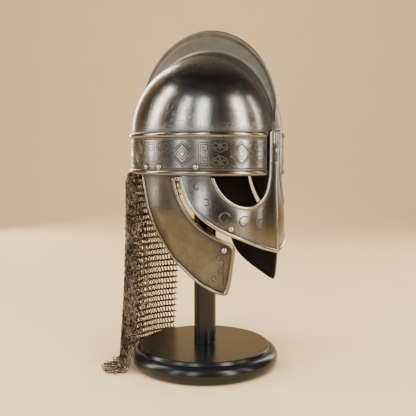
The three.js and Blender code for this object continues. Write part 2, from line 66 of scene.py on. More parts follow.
HALF_LENGTH = 116.2
HALF_WIDTH = 100.9
CENTRE_Y = -2.5
LOWER_BEAD = 289.6
UPPER_BEAD = 341.0
BAND_END = 22.0
UNDER_BAND = LOWER_BEAD - 3.6
TUCK = 1.95
TUCK_TOP = 316.0
FLARE_TOP = UNDER_BAND - 6.0
BOWL_SPRING = 345.0
BOWL_TOP = 456.0
BAR_HALF = 14.5
BAR_TOP = 345.7
BAR_ANGLE = math.degrees(math.asin(BAR_HALF / HALF_WIDTH))
MM_PER_DEGREE = 1.9             # along the wall, on average
PLATE_FLARE = 2.5               # how far the face plate's lower edge stands proud of the band
GUARD_TAPER = 0.045
GUARD_LENGTH = 161.6
GUARD_LEAN = 20.0
TONGUE_HALF, TONGUE_LOW = 11.0, 309.0
NOTCH_HALF, NOTCH_HIGH = 28.0, 340.0
BOWL_EDGE = 318.0
COMB_CENTRE, COMB_RADIUS = 375.0, 118.0
MAIL_TOP = UNDER_BAND - 0.35
MAIL_LOW = 1.9                  # the middle of the mail where it lies on the floor
MAIL_FLOOR = 0.4                # and its underside
MAIL_BEND = 9.0
MAIL_FLARE = 11.5
MAIL_TAIL = 30.0                # how much longer the near part is, on the floor
BASE_TOP = 30.0
CREASE = math.radians(38)       # faces that meet at a sharper angle keep their edge

# the camera, in pixels: the picture's width, the focal length, and the row and column straight ahead
PICTURE, FOCAL, HORIZON, MIDDLE = 416.0, 640.0, 150.0, 204.9

# angle and height, from the tip in the middle to the arm's rear corner
FACE_EDGE = [
    (0, 179), (12, 184.6), (23.2, 191.2), (38.3, 203), (47.3, 210.2), (55.9, 219.4),
    (64.4, 232.4), (71.5, 248), (76.8, 270), (78.6, 285), (79.2, TUCK_TOP),
]

# angle and height, from the arm's front corner round the eye and up the bar
EYE_EDGE = [
    (58, TUCK_TOP), (57, 295), (55.8, 284), (51.6, 267), (45.5, 253.6), (38.3, 245.8),
    (30.6, 243.3), (23.8, 245.4), (16.9, 253.6), (11.6, 266.3), (9.2, 280),
    (BAR_ANGLE + 0.2, 300), (BAR_ANGLE, BAR_TOP - 10), (BAR_ANGLE - 0.3, BAR_TOP - 2.5),
    (BAR_ANGLE - 1.6, BAR_TOP),
]

# angle and height, from the rear top down round the tip to the front top
GUARD_EDGE = [
    (114.6, TUCK_TOP), (114.4, 285), (111.8, 266), (104.6, 226.2), (98.8, 199.4),
    (89.8, 169.8), (71.9, 145.4), (54, 129.4), (48.5, 126.7), (45.2, 127.3), (43.9, 132),
    (39.9, 182), (39.9, 188), (42, 193), (46.9, 197.4), (54.6, 205), (64.9, 218.4),
    (74, 237.4), (80.8, 259.9), (84.3, 284), (85, TUCK_TOP),
]

# height and angle of the mail's edge on the wearer's right
MAIL_EDGE = [
    (0, 119), (27, 116), (45, 110), (68, 105), (113, 101.5), (190, 101.5), (227, 105),
    (246, 111), (270, 122), (286, 134),
]

# height and angle of the mail's far edge, on the wearer's left
MAIL_FAR_EDGE = [(0, 213), (286, 217.5)]


def smooth(value):
    """Eases from 0 to 1, flat at both ends."""
    value = np.clip(value, 0, 1)
    return value * value * (3 - 2 * value)


def wall(angle, height, outward=0.0, scale=1.0):
    turn = np.radians(angle)
    x = -(HALF_WIDTH * scale + outward) * np.sin(turn)
    y = CENTRE_Y - (HALF_LENGTH * scale + outward) * np.cos(turn)
    return np.stack(np.broadcast_arrays(x, y, height), axis=-1).astype(float)


def face_wall(angle, height, outward=0.0):
    arm = (PLATE_FLARE + TUCK) * smooth((FLARE_TOP - height) / 60) - TUCK
    nose = PLATE_FLARE * smooth((UNDER_BAND - height) / 90)
    share = smooth((np.abs(angle) - 10) / 30)
    return wall(angle, height, outward + nose + (arm - nose) * share)


def guard_wall(angle, height, outward=0.0):
    scale = 1 - GUARD_TAPER * np.clip((LOWER_BEAD - height) / GUARD_LENGTH, 0, 1.2)
    tucked = TUCK * (smooth((FLARE_TOP - height) / 54) - 1)
    lean = GUARD_LEAN * smooth((np.abs(angle) - 42) / 45) * smooth((245 - height) / 110)
    return wall(angle, height, outward + tucked - lean, scale)


def normal_on(surface, angle, height):
    """The outward direction of a wall at an angle and height."""
    step = 0.05
    along = surface(angle + step, height) - surface(angle - step, height)
    up = surface(angle, height + step) - surface(angle, height - step)
    normal = np.cross(up, along)
    normal /= np.linalg.norm(normal, axis=-1, keepdims=True)
    outward = surface(angle, height) * [1, 1, 0]
    sign = np.sign(np.sum(normal * outward, axis=-1, keepdims=True))
    return normal * sign


def spline(rows, count, squeeze=1.0):
    """Points spaced evenly along a smooth curve through the rows."""
    p = np.array(rows, float)
    p[:, 0] *= squeeze
    p = np.vstack([2 * p[0] - p[1], p, 2 * p[-1] - p[-2]])
    fine = []
    for a, b, c, d in zip(p, p[1:], p[2:], p[3:]):
        t1 = np.linalg.norm(b - a) ** 0.5
        t2 = t1 + np.linalg.norm(c - b) ** 0.5
        t3 = t2 + np.linalg.norm(d - c) ** 0.5
        t = np.linspace(t1, t2, 24, endpoint=False)[:, None]
        a1 = ((t1 - t) * a + t * b) / t1
        a2 = ((t2 - t) * b + (t - t1) * c) / (t2 - t1)
        a3 = ((t3 - t) * c + (t - t2) * d) / (t3 - t2)
        b1 = ((t2 - t) * a1 + t * a2) / t2
        b2 = ((t3 - t) * a2 + (t - t1) * a3) / (t3 - t1)
        fine.append(((t2 - t) * b1 + (t - t1) * b2) / (t2 - t1))
    fine = np.vstack([*fine, p[-2]])
    run = np.r_[0, np.cumsum(np.linalg.norm(np.diff(fine, axis=0), axis=1))]
    at = np.linspace(0, run[-1], count + 1)
    points = np.stack([np.interp(at, run, column) for column in fine.T], axis=-1)
    points[:, 0] /= squeeze
    return points


def trace(rows, count):
    return spline(rows, count, squeeze=2.0)


def mirrored(points):
    return (points * [-1, 1])[::-1]


def distance(x, y, points):
    """How far each place lies from the nearest of the points."""
    away = np.full(np.shape(x), 99.0)
    for a, b in points:
        away = np.minimum(away, np.hypot(x - a, y - b))
    return away


def add_object(name, data):
    made = bpy.data.objects.new(name, data)
    bpy.context.scene.collection.objects.link(made)
    return made


class Shape:
    """Gathers the faces of one piece, with a value of painted shade and patina on every point."""

    def __init__(self):
        self.points, self.faces, self.slots, self.tarnish = [], [], [], []
        self.size = 0

    def add(self, points, faces, slot=0, tarnish=0.0):
        points = np.asarray(points, float).reshape(-1, 3)
        self.points.append(points)
        self.tarnish.append(np.broadcast_to(np.asarray(tarnish, float).ravel(), len(points)))
        self.faces += [[i + self.size for i in face] for face in faces]
        self.slots += [slot] * len(faces)
        self.size += len(points)

    def grid(self, points, slot=0, tarnish=0.0, loop=False, turned=False):
        """A sheet over rows and columns of points; loop closes each row on itself."""
        rows, columns = points.shape[:2]
        faces = []
        for r in range(rows - 1):
            for c in range(columns if loop else columns - 1):
                d = (c + 1) % columns
                low, high = r * columns, (r + 1) * columns
                face = [low + c, low + d, high + d, high + c]
                faces.append(face[::-1] if turned else face)
        self.add(points, faces, slot, tarnish)

    def close_ends(self, first, last, count, slot=0):
        """Shuts a tube whose end rings start at the points first and last."""
        self.faces.append([first + i for i in range(count)][::-1])
        self.faces.append([last + i for i in range(count)])
        self.slots += [slot, slot]

    def build(self, name, materials, closed=False):
        mesh = bpy.data.meshes.new(name)
        mesh.from_pydata(np.vstack(self.points) * MM, [], self.faces)
        for material in materials:
            mesh.materials.append(material)
        mesh.polygons.foreach_set("material_index", self.slots)
        layer = mesh.attributes.new("tarnish", "FLOAT", "POINT")
        layer.data.foreach_set("value", np.concatenate(self.tarnish))
        mesh.polygons.foreach_set("use_smooth", [True] * len(self.faces))
        mesh.validate()
        mesh.set_sharp_from_angle(angle=CREASE)
        if closed:
            turn_outward(mesh)
        return add_object(name, mesh)


def turn_outward(mesh):
    """Turns every face of a closed mesh outward."""
    made = bmesh.new()
    made.from_mesh(mesh)
    bmesh.ops.recalc_face_normals(made, faces=made.faces)
    made.to_mesh(mesh)
    made.free()


def place(piece, node):
    """Lets a finished piece stand for its CAD node."""
    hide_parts(node)
    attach(piece, "root")


def rod(shape, path, normals, radius, sides=18, slot=2, under=0.0, back=None):
    """A round bar along a path, with domed ends.

    Its side against the plate gets painted shade by under, and back is the slot of its inner half,
    which takes the near-black inside finish as painted shade.
    """
    tangent = np.gradient(path, axis=0)
    tangent /= np.linalg.norm(tangent, axis=1, keepdims=True)
    side = np.cross(tangent, normals)
    side /= np.linalg.norm(side, axis=1, keepdims=True)
    lift = np.cross(side, tangent)
    turn = np.linspace(0, 2 * np.pi, sides, endpoint=False)
    centres, sizes, index = list(path), [1.0] * len(path), list(range(len(path)))
    for end, sign in ((0, -1), (len(path) - 1, 1)):
        for bend in (0.45, 0.75, 0.93, 1.0):
            centre = path[end] + sign * tangent[end] * radius * bend * 0.9
            ring = math.sqrt(max(0.0, 1 - bend ** 2)) + 0.01
            if sign < 0:
                centres.insert(0, centre), sizes.insert(0, ring), index.insert(0, end)
            else:
                centres.append(centre), sizes.append(ring), index.append(end)
    centres, sizes = np.array(centres), np.array(sizes)[:, None, None] * radius
    across = np.cos(turn)[None, :, None] * lift[index][:, None, :]
    around = np.sin(turn)[None, :, None] * side[index][:, None, :]
    points = centres[:, None, :] + sizes * (across + around)
    # painted shade on the side of the bar that faces the plate
    dark = under * np.clip(-np.cos(turn - 0.5), 0, 1)[None, :] * np.ones((len(centres), 1))
    start = len(shape.slots)
    shape.grid(points, slot, dark, loop=True)
    # the inner half takes the near-black inside finish: painted shade
    if back is not None:
        hidden = np.cos(turn + np.pi / sides) < 0.35
        for i in range(start, len(shape.slots)):
            if hidden[(i - start) % sides]:
                shape.slots[i] = back
    shape.close_ends(shape.size - len(points) * sides, shape.size - sides, sides, slot)


def rod_on(shape, line, surface, outward, radius, **look):
    """A rod along a line of angles and heights, at a distance outward of a wall."""
    angle, height = line[:, 0], line[:, 1]
    rod(shape, surface(angle, height, outward), normal_on(surface, angle, height), radius, **look)


def engrave(shape, lines, surface, width, depth=0.1):
    """Cut lines: a groove between two low burrs, laid along each line of angles and heights, with
    painted shade on the groove's floor.
    """
    rails = [(-0.5, -0.3), (-0.38, 1.0), (-0.22, 0.1), (0.22, 0.1), (0.38, 1.0), (0.5, -0.3)]
    # painted shade: the floor's value turns it near black, the burrs stay bright
    dark = [0.2, 0.0, 1.9, 1.9, 0.0, 0.2]
    for line in lines:
        line = np.asarray(line, float)
        angle, height = line[:, 0], line[:, 1]
        middle = surface(angle, height)
        normal = normal_on(surface, angle, height)
        tangent = np.gradient(middle, axis=0)
        side = np.cross(normal, tangent)
        side /= np.linalg.norm(side, axis=1, keepdims=True) + 1e-9
        points = np.stack([
            middle + side * across * width + normal * up * depth for across, up in rails
        ], axis=1)
        shape.grid(points, 0, np.broadcast_to(dark, points.shape[:2]), turned=True)


def plate(shape, outline, surface, thick, shade, pitch=1.9):
    """A sheet cut to an outline: outside in slot 0, inside in slot 1, and the edge between; shade
    gives the outside its painted shade.
    """
    flat = outline * [MM_PER_DEGREE, 1]
    low, high = flat.min(axis=0), flat.max(axis=0)
    heights = np.arange(low[1] + pitch / 2, high[1], pitch)
    field = np.array([
        (x + pitch * (row % 2) / 2, y)
        for row, y in enumerate(heights) for x in np.arange(low[0] + pitch / 2, high[0], pitch)
    ])
    after = np.roll(flat, -1, axis=0)
    within = np.zeros(len(field), bool)
    for a, b in zip(flat, after):
        if a[1] != b[1]:
            crossed = (field[:, 1] < a[1]) != (field[:, 1] < b[1])
            edge_at = a[0] + (field[:, 1] - a[1]) * (b[0] - a[0]) / (b[1] - a[1])
            within ^= crossed & (field[:, 0] < edge_at)
    field = field[within & (distance(*field.T, flat) > pitch * 0.6)]
    points, _, faces, *_ = delaunay_2d_cdt(
        [Vector(p) for p in np.vstack([flat, field])], [], [list(range(len(flat)))], 1, 1e-5)
    spread = np.array([tuple(p) for p in points]) / [MM_PER_DEGREE, 1]
    angles, heights = spread[:, 0], spread[:, 1]
    outside, inside = surface(angles, heights, 0.0), surface(angles, heights, -thick)
    faces = [list(face) for face in faces]
    a, b, c = outside[faces[0]]
    corner = faces[0][:1]
    if np.cross(b - a, c - a) @ normal_on(surface, angles[corner], heights[corner])[0] < 0:
        faces = [face[::-1] for face in faces]
    count = len(outside)
    edges = {(i, j) for face in faces for i, j in zip(face, face[1:] + face[:1])}
    start = len(shape.slots)
    shape.add(
        np.vstack([outside, inside]),
        faces + [[i + count for i in face[::-1]] for face in faces]
        + [[j, i, i + count, j + count] for i, j in edges if (j, i) not in edges],
        0, np.concatenate([shade(angles, heights), np.full(count, 0.6)]),
    )
    shape.slots[start + len(faces):start + 2 * len(faces)] = [1] * len(faces)


def lathe(shape, profile, sides, tarnish=0.0, shift=(0, 0, 0), turn=None):
    """A profile of radii and heights turned about +Z, then turned and moved as a whole."""
    profile = np.asarray(profile, float)
    around = np.linspace(0, 2 * np.pi, sides, endpoint=False)
    radius, height = profile[:, 0][:, None], profile[:, 1][:, None]
    points = np.stack([
        radius * np.cos(around), radius * np.sin(around), height + 0 * around[None, :],
    ], axis=-1)
    if turn is not None:
        points = points @ np.array(turn).T
    dark = np.broadcast_to(np.asarray(tarnish, float).reshape(-1, 1), points.shape[:2])
    shape.grid(points + np.array(shift), 0, dark, loop=True)


# Finishes


class Wire:
    """A shader value that takes part in sums and products."""

    def __init__(self, finish, socket):
        self.finish, self.socket = finish, socket

    def _sum(self, operation, a, b, clamp=False):
        settings = {"operation": operation, "use_clamp": clamp}
        return self.finish.node("ShaderNodeMath", settings, {0: a, 1: b})

    def __add__(self, other):
        return self._sum("ADD", self, other)

    def __radd__(self, other):
        return self._sum("ADD", other, self)

    def __sub__(self, other):
        return self._sum("SUBTRACT", self, other)

    def __rsub__(self, other):
        return self._sum("SUBTRACT", other, self)

    def __mul__(self, other):
        return self._sum("MULTIPLY", self, other)

    def __rmul__(self, other):
        return self._sum("MULTIPLY", other, self)

    def clamped(self):
        return self._sum("ADD", self, 0.0, clamp=True)


class Finish:
    """One material's node tree, written as expressions."""

    def __init__(self, name):
        self.material = bpy.data.materials.new(name)
        self.material.use_nodes = True
        self.tree = self.material.node_tree
        self.tree.nodes.clear()

    def node(self, kind, settings=None, sockets=None, output=0):
        made = self.tree.nodes.new(kind)
        for key, value in (settings or {}).items():
            if key == "stops":
                ramp = made.color_ramp
                while len(ramp.elements) < len(value):
                    ramp.elements.new(0.5)
                for element, (position, colour) in zip(ramp.elements, value):
                    element.position, element.color = position, (*colour, 1.0)
            else:
                setattr(made, key, value)
        for key, value in (sockets or {}).items():
            if isinstance(value, Wire):
                self.tree.links.new(value.socket, made.inputs[key])
            else:
                made.inputs[key].default_value = value
        return Wire(self, made.outputs[output]) if len(made.outputs) else None

    def place(self, stretch=(1, 1, 1)):
        where = self.node("ShaderNodeTexCoord", output=3)
        return self.node("ShaderNodeMapping", sockets={"Vector": where, "Scale": stretch})

    def noise(self, scale, detail=4.0, rough=0.55, stretch=(1, 1, 1), warp=0.0):
        return self.node("ShaderNodeTexNoise", sockets={
            "Vector": self.place(stretch), "Scale": scale, "Detail": detail,
            "Roughness": rough, "Distortion": warp,
        })

    def attribute(self, name):
        return self.node("ShaderNodeAttribute", {"attribute_name": name}, output=2)

    def range(self, value, low, high, to_low=0.0, to_high=1.0):
        return self.node("ShaderNodeMapRange", {"interpolation_type": "SMOOTHSTEP"}, {
            "Value": value, "From Min": low, "From Max": high, "To Min": to_low, "To Max": to_high,
        })

    def mix(self, share, low, high):
        low = low if isinstance(low, Wire) else (*low, 1.0)
        high = high if isinstance(high, Wire) else (*high, 1.0)
        return self.node("ShaderNodeMix", {"data_type": "RGBA"}, {0: share, 6: low, 7: high}, 2)

    def bump(self, height, distance, strength=1.0, under=None):
        sockets = {"Height": height, "Distance": distance, "Strength": strength}
        if under is not None:
            sockets["Normal"] = under
        return self.node("ShaderNodeBump", sockets=sockets)

    def surface(self, **sockets):
        named = {k.replace("_", " ").title().replace("Ior", "IOR"): v for k, v in sockets.items()}
        body = self.node("ShaderNodeBsdfPrincipled", sockets=named)
        self.node("ShaderNodeOutputMaterial", sockets={"Surface": body})
        return self.material


def steel(name, bright, dull, patina, gloss, shade_and_grime=1.0, relief=1.0, streak=(260, 260, 18)):
    """Brushed steel: long streaks, a cloudy brown tone, and painted shade mixed with brown patina
    where each point's shade value is high, near black in the engraved grooves.
    """
    f = Finish(name)
    tarnish = f.attribute("tarnish")
    brushed = f.noise(1.0, 5.0, 0.7, stretch=streak)
    fine = f.noise(1.0, 3.0, 0.6, stretch=tuple(s * 4.3 for s in streak))
    cloud = f.noise(14.0, 5.0, 0.6, warp=0.6)
    spots = f.noise(120.0, 4.0, 0.65)
    pits = f.range(f.noise(420.0, 2.0, 0.5), 0.66, 0.74)
    hairline = f.range(f.noise(1.0, 2.0, 0.5, stretch=(46, 300, 300), warp=1.2), 0.62, 0.66)
    dulled = (f.range(cloud, 0.36, 0.66) * 0.7 + f.range(spots, 0.4, 0.75) * 0.3).clamped()
    metal = f.mix(dulled, bright, dull)
    metal = f.mix(f.range(brushed, 0.36, 0.7) * 0.34, metal, tuple(c * 0.5 for c in bright))
    # edge: painted shade and patina from the points' value, with pits and hairlines
    edge = (tarnish * shade_and_grime * (0.45 + 0.9 * cloud) + pits * 0.04 + hairline * 0.1).clamped()
    metal = f.mix(edge, metal, patina)
    # painted shade: the highest values, on the groove floors, turn near black
    deep = f.range(tarnish, 1.0, 1.5)
    metal = f.mix(deep, metal, (0.028, 0.021, 0.016))
    rough = (gloss + 0.08 * brushed + 0.07 * dulled + 0.28 * edge).clamped()
    normal = f.bump(cloud, 0.0011, 0.35 * relief)
    normal = f.bump(brushed * 0.6 + fine * 0.4, 0.00012, 0.45 * relief, normal)
    normal = f.bump(1 - 0.1 * pits - 0.6 * hairline, 0.0002, 0.3 * relief, normal)
    return f.surface(base_color=metal, metallic=1.0 - 0.35 * edge, roughness=rough, normal=normal)


def inside_steel(name, tone):
    """The near-black inner side of the plates: painted shade for the dark hollow inside the helmet.
    """
    f = Finish(name)
    cloud = f.noise(22.0, 5.0, 0.6)
    grain = f.noise(600.0, 3.0, 0.6)
    colour = f.mix(f.range(cloud, 0.4, 0.75), tone, tuple(c * 2.2 + 0.004 for c in tone))
    return f.surface(
        base_color=colour, metallic=0.2, roughness=(0.5 + 0.3 * grain).clamped(),
        specular_ior_level=0.25, normal=f.bump(grain, 0.0002, 0.5),
    )


def mail_steel(name, bright, dark):
    """Ring wire in painted light: each ring's random share mixes a bright glint colour with a
    near-black shade colour.
    """
    f = Finish(name)
    ring = f.attribute("ring_tone")
    grain = f.noise(700.0, 3.0, 0.6)
    cloud = f.noise(30.0, 4.0, 0.6)
    share = (0.9 * ring + 0.3 * cloud + 0.2 * grain - 0.52).clamped()
    colour = f.mix(share, dark, bright)
    return f.surface(
        base_color=colour, metallic=1.0, roughness=(0.5 - 0.22 * share).clamped(),
        normal=f.bump(grain, 0.00015, 0.4),
    )


def black_paint(name, tone):
    """Gloss black paint over turned wood, with a little dust and a faint orange peel."""
    f = Finish(name)
    peel = f.noise(85.0, 2.0, 0.4)
    dust = f.range(f.noise(900.0, 2.0, 0.6), 0.66, 0.78)
    wear = f.range(f.noise(26.0, 4.0, 0.6), 0.5, 0.8)
    colour = f.mix(dust * 0.08 + 0.02 * wear, tone, (0.16, 0.15, 0.14))
    return f.surface(
        base_color=colour, roughness=(0.24 + 0.04 * wear + 0.15 * dust).clamped(),
        specular_ior_level=0.32, normal=f.bump(peel, 0.0004, 0.03),
    )


def plain_floor(name, tone):
    f = Finish(name)
    grain = f.noise(9.0, 5.0, 0.6)
    colour = f.mix(f.range(grain, 0.35, 0.7) * 0.25, tone, tuple(c * 0.88 for c in tone))
    return f.surface(base_color=colour, roughness=0.75, specular_ior_level=0.2)


FINISHES = {}


def finish(key):
    """The named finish, made once from the colours in the panel."""
    if key not in FINISHES:
        c = bpy.context.scene.helmet_colours
        bright, worn, brown = tuple(c.steel), tuple(c.worn), tuple(c.patina)

        def toned(colour, share):
            return tuple(v * share for v in colour)

        makers = {
            "polished": lambda: steel("polished_steel", bright, toned(bright, 0.6), brown, 0.135),
            "plate": lambda: steel(
                "plate_steel", toned(bright, 0.85), worn, brown, 0.15,
                relief=0.5, streak=(160, 160, 22)),
            # a darker, browner copy of the steel: painted shade on the comb
            "comb": lambda: steel(
                "comb_shaded_steel", (0.24, 0.205, 0.16), (0.135, 0.11, 0.08), brown, 0.2,
                relief=0.06, streak=(120, 20, 120)),
            "worn": lambda: steel("worn_steel", worn, toned(worn, 0.55), brown, 0.2, shade_and_grime=1.15),
            "border": lambda: steel(
                "bright_border", toned(bright, 1.5), bright, brown, 0.15,
                shade_and_grime=0.8, relief=0.1, streak=(30, 30, 12)),
            "tan": lambda: steel(
                "tan_border", (0.27, 0.235, 0.185), (0.15, 0.122, 0.09), brown, 0.17,
                shade_and_grime=0.8, relief=0.15, streak=(30, 30, 12)),
            "rivet": lambda: steel(
                "rivet_steel", (0.5, 0.47, 0.42), (0.3, 0.27, 0.23), brown, 0.17, relief=0.3),
            "inside": lambda: inside_steel("inside_shade_black", tuple(c.inside)),
            "mail": lambda: mail_steel("ring_steel", tuple(c.ring_glint), tuple(c.ring_shade)),
            "paint": lambda: black_paint("gloss_black", tuple(c.paint)),
            "floor": lambda: plain_floor("pale_floor", tuple(c.floor)),
        }
        FINISHES[key] = makers[key]()
    return FINISHES[key]


# Sizes and colours that a user would change


def colour(name, description, default):
    return FloatVectorProperty(
        name=name, description=description, default=default, subtype="COLOR", size=3,
        min=0.0, max=1.0)


def length(name, description, default):
    return FloatProperty(
        name=name, description=description, default=default * MM, unit="LENGTH", min=0.0,
        precision=4)


class HelmetSizes(bpy.types.PropertyGroup):
    sheet: length("Sheet", "Thickness of every steel plate", 1.6)
    bead: length("Bead", "Half height of the brow band's beads", 3.6)
    bead_proud: length("Bead relief", "How far the beads stand out from the band", 2.4)
    border: length("Border", "Radius of the rolled edges of the face plate and guards", 2.8)
    eye_rim: length("Eye rim", "Radius of the rim round each eye", 2.7)
    line: length("Engraved line", "Width of an engraved line", 1.45)
    comb_web: length("Comb web", "Half thickness of the comb", 1.9)
    comb_rim: length("Comb rim", "Half thickness of the comb's rim", 2.7)
    rivet: length("Rivet", "Radius of a rivet's head", 4.0)
    rivet_height: length("Rivet height", "Height of a rivet's head", 2.6)


class MailSizes(bpy.types.PropertyGroup):
    ring: length("Ring", "Radius of a ring of the far part, to the middle of its wire", 4.0)
    wire: length("Wire", "Radius of the far part's wire", 0.8)
    row: length("Row", "Height from one facing row of the far part to the next", 9.9)
    columns: IntProperty(name="Columns", description="Rings across the far part", default=24, min=4)
    close_ring: length("Close ring", "Radius of a ring of the close woven near part", 3.25)
    close_wire: length("Close wire", "Radius of the near part's wire", 0.66)
    close_row: length("Close row", "Height from row to row of the near part", 4.7)
    close_columns: IntProperty(
        name="Close columns", description="Rings across the near part", default=14, min=4)
    parting: FloatProperty(
        name="Parting", description="Share of the curtain that is close woven", default=0.45)
    seed: IntProperty(name="Seed", description="Seed of the rings' small turns", default=7)


class StandSizes(bpy.types.PropertyGroup):
    base_ring: length("Moulding", "Radius of the base's rounded moulding", 13.5)
    post: length("Post", "Radius of the post", 16.5)
    groove: length("Groove", "Depth of the groove inside the moulding", 1.6)


class HelmetColours(bpy.types.PropertyGroup):
    steel: colour("Steel", "Rubbed bright steel", (0.285, 0.26, 0.23))
    worn: colour("Worn steel", "Duller, warmer steel of the guards", (0.155, 0.14, 0.121))
    # this brown is also the colour that painted shade mixes towards
    patina: colour("Patina", "Brown along the edges", (0.026, 0.0175, 0.0105))
    # painted shade: the inside colour is near black for the dark hollow of the helmet
    inside: colour("Inside", "Blackened inner side of the plates", (0.008, 0.0065, 0.0055))
    # painted light on the mail: a glint colour and a near-black shade colour, mixed ring by ring
    ring_glint: colour("Ring, rubbed", "Bright side of the ring wire", (0.40, 0.335, 0.25))
    ring_shade: colour("Ring, dark", "Dark ring wire", (0.018, 0.0145, 0.011))
    paint: colour("Paint", "The stand's black paint", (0.006, 0.006, 0.0065))
    floor: colour("Floor", "Plain floor and backdrop", (0.80, 0.60, 0.34))


# Engraved ornament, in millimetres along and up from the middle of each motif


def spiral(x, y, size, start, turns, hand=1, count=44):
    """A scroll that winds inward from its start."""
    share = np.linspace(0, 1, count)
    radius = size * (1 - 0.62 * share)
    turn = math.radians(start) + hand * 2 * np.pi * turns * share
    return np.stack([x + radius * np.cos(turn), y + radius * np.sin(turn)], axis=-1)


def straight(*corners):
    """A line through its corners, cut short so that it follows the curved wall."""
    parts = []
    for (x0, y0), (x1, y1) in zip(corners, corners[1:]):
        share = np.linspace(0, 1, 9)[:, None]
        parts.append(np.array([[x0, y0]]) + share * np.array([[x1 - x0, y1 - y0]]))
    return parts


def lozenge():
    lines = []
    for wide, tall in ((4.2, 4.4), (8.0, 8.4), (11.8, 12.6)):
        lines += straight((0, tall), (wide, 0), (0, -tall), (-wide, 0), (0, tall))
    for side in (-1, 1):
        for up in (-1, 1):
            for shift in (0.0, 2.9):
                lines += straight((0, up * (14.2 + shift)), (side * (11.0 + shift), up * 3.2))
            lines += straight((side * 15.8, up * 4.6), (side * 12.4, 0.0))
    return lines


def scrolls():
    lines = []
    for up in (-1, 1):
        for side in (-1, 1):
            lines.append(spiral(side * 5.2, up * 10.4, 5.4, up * -90, 1.2, up * side))
    lines += straight((0, 16.5), (0, 4.0)) + straight((0, -4.0), (0, -16.5))
    arc = np.array([[-5.2, 5], [-2.5, 3.2], [0, 2.5], [2.5, 3.2], [5.2, 5]])
    return lines + [arc, arc * [1, -1]]


def fret():
    lines = straight((-7, -15), (-7, 15), (7, 15), (7, -15), (-7, -15))
    for up in (-1, 1):
        hook = [
            (-4.4, 2.0), (-4.4, 12.4), (4.4, 12.4), (4.4, 4.6), (-1.6, 4.6), (-1.6, 9.4), (1.8, 9.4),
        ]
        lines += straight(*((x, up * y) for x, y in hook))
    return lines


# angle and motif along the band, from beside the bar to the middle of the back
MOTIFS = [
    (19.5, scrolls), (35, lozenge), (50.5, scrolls), (61.5, fret), (76.5, lozenge), (92, scrolls),
    (103, fret), (117.5, lozenge), (133, scrolls), (144, fret), (158.5, lozenge), (173, scrolls),
]


def on_wall(lines, angle, height, mirror=1):
    """Moves lines in millimetres to a place on the wall, as angles and heights."""
    return [
        np.stack([angle - mirror * line[:, 0] / MM_PER_DEGREE, height + line[:, 1]], axis=-1)
        for line in lines
    ]


def band_ornament():
    lines = []
    for sign in (1, -1):
        for angle, motif in MOTIFS:
            lines += on_wall(motif(), sign * angle, 315.4, sign)
        along = sign * np.linspace(13.6, 180, 300)
        for height in (296.0, 334.8):
            lines.append(np.stack([along, np.full(300, height)], axis=-1))
        lines.append(np.stack([np.full(24, sign * 13.8), np.linspace(296, 334.8, 24)], axis=-1))
    return lines


def face_ornament():
    lines = []
    for sign in (1, -1):
        for angle, height, size, start, turns, hand in (
            (47.5, 230, 8.8, 20, 0.9, 1), (33.5, 224, 9.0, 50, 0.85, 1),
            (20, 219, 8.6, 80, 0.8, 1), (60, 250, 6.0, 120, 0.7, -1), (66.5, 271, 5.0, 100, 0.7, 1),
        ):
            lines += on_wall([spiral(0, 0, size, start, turns, hand)], sign * angle, height, sign)
    return lines


def guard_ornament():
    lines = []
    for angle, height, size, start, hand in (
        (50.5, 176, 5.2, 60, 1), (50, 158, 4.8, 100, -1), (54, 148, 4.6, 280, -1),
    ):
        lines += on_wall([spiral(0, 0, size, start, 0.95, hand)], angle, height)
    zigzag = [(46.8 + 1.1 * (i % 2), 176 - 3.4 * i) for i in range(12)]
    for a, b in zip(zigzag, zigzag[1:]):
        lines.append(np.linspace(a, b, 6))
    return lines


# the plates' rivets: name, angle, height and the wall each sits on
RIVETS = [
    ("rivet_guard_rear", 107.8, 297.5, wall), ("rivet_guard_front", 95.0, 297.3, wall),
    ("rivet_arm", 66.9, 297.9, wall), ("rivet_face", 42.9, 216.0, face_wall),
    ("rivet_guard_corner", 47.0, 186.4, guard_wall),
]
NASAL_RIVET = (0.0, 320.2)


def rivet_places(surface):
    """Where one wall's rivets sit, on both sides."""
    return [(s * angle, z) for _, angle, z, on in RIVETS if on is surface for s in (1, -1)]


def near(value, target, reach):
    """1 at the target and fading over its reach."""
    return np.exp(-np.abs(value - target) / reach)


def by_rivets(angles, heights, places, reach=3.2):
    """Painted shade and dirt in a ring round rivet heads."""
    total = np.zeros_like(heights)
    for angle, height in places:
        away = np.hypot((angles - angle) * MM_PER_DEGREE, heights - height)
        total += np.exp(-np.clip(away - 4.0, 0, None) / reach)
    return np.clip(total, 0, 1)


# Operators, one for each piece or group of like pieces


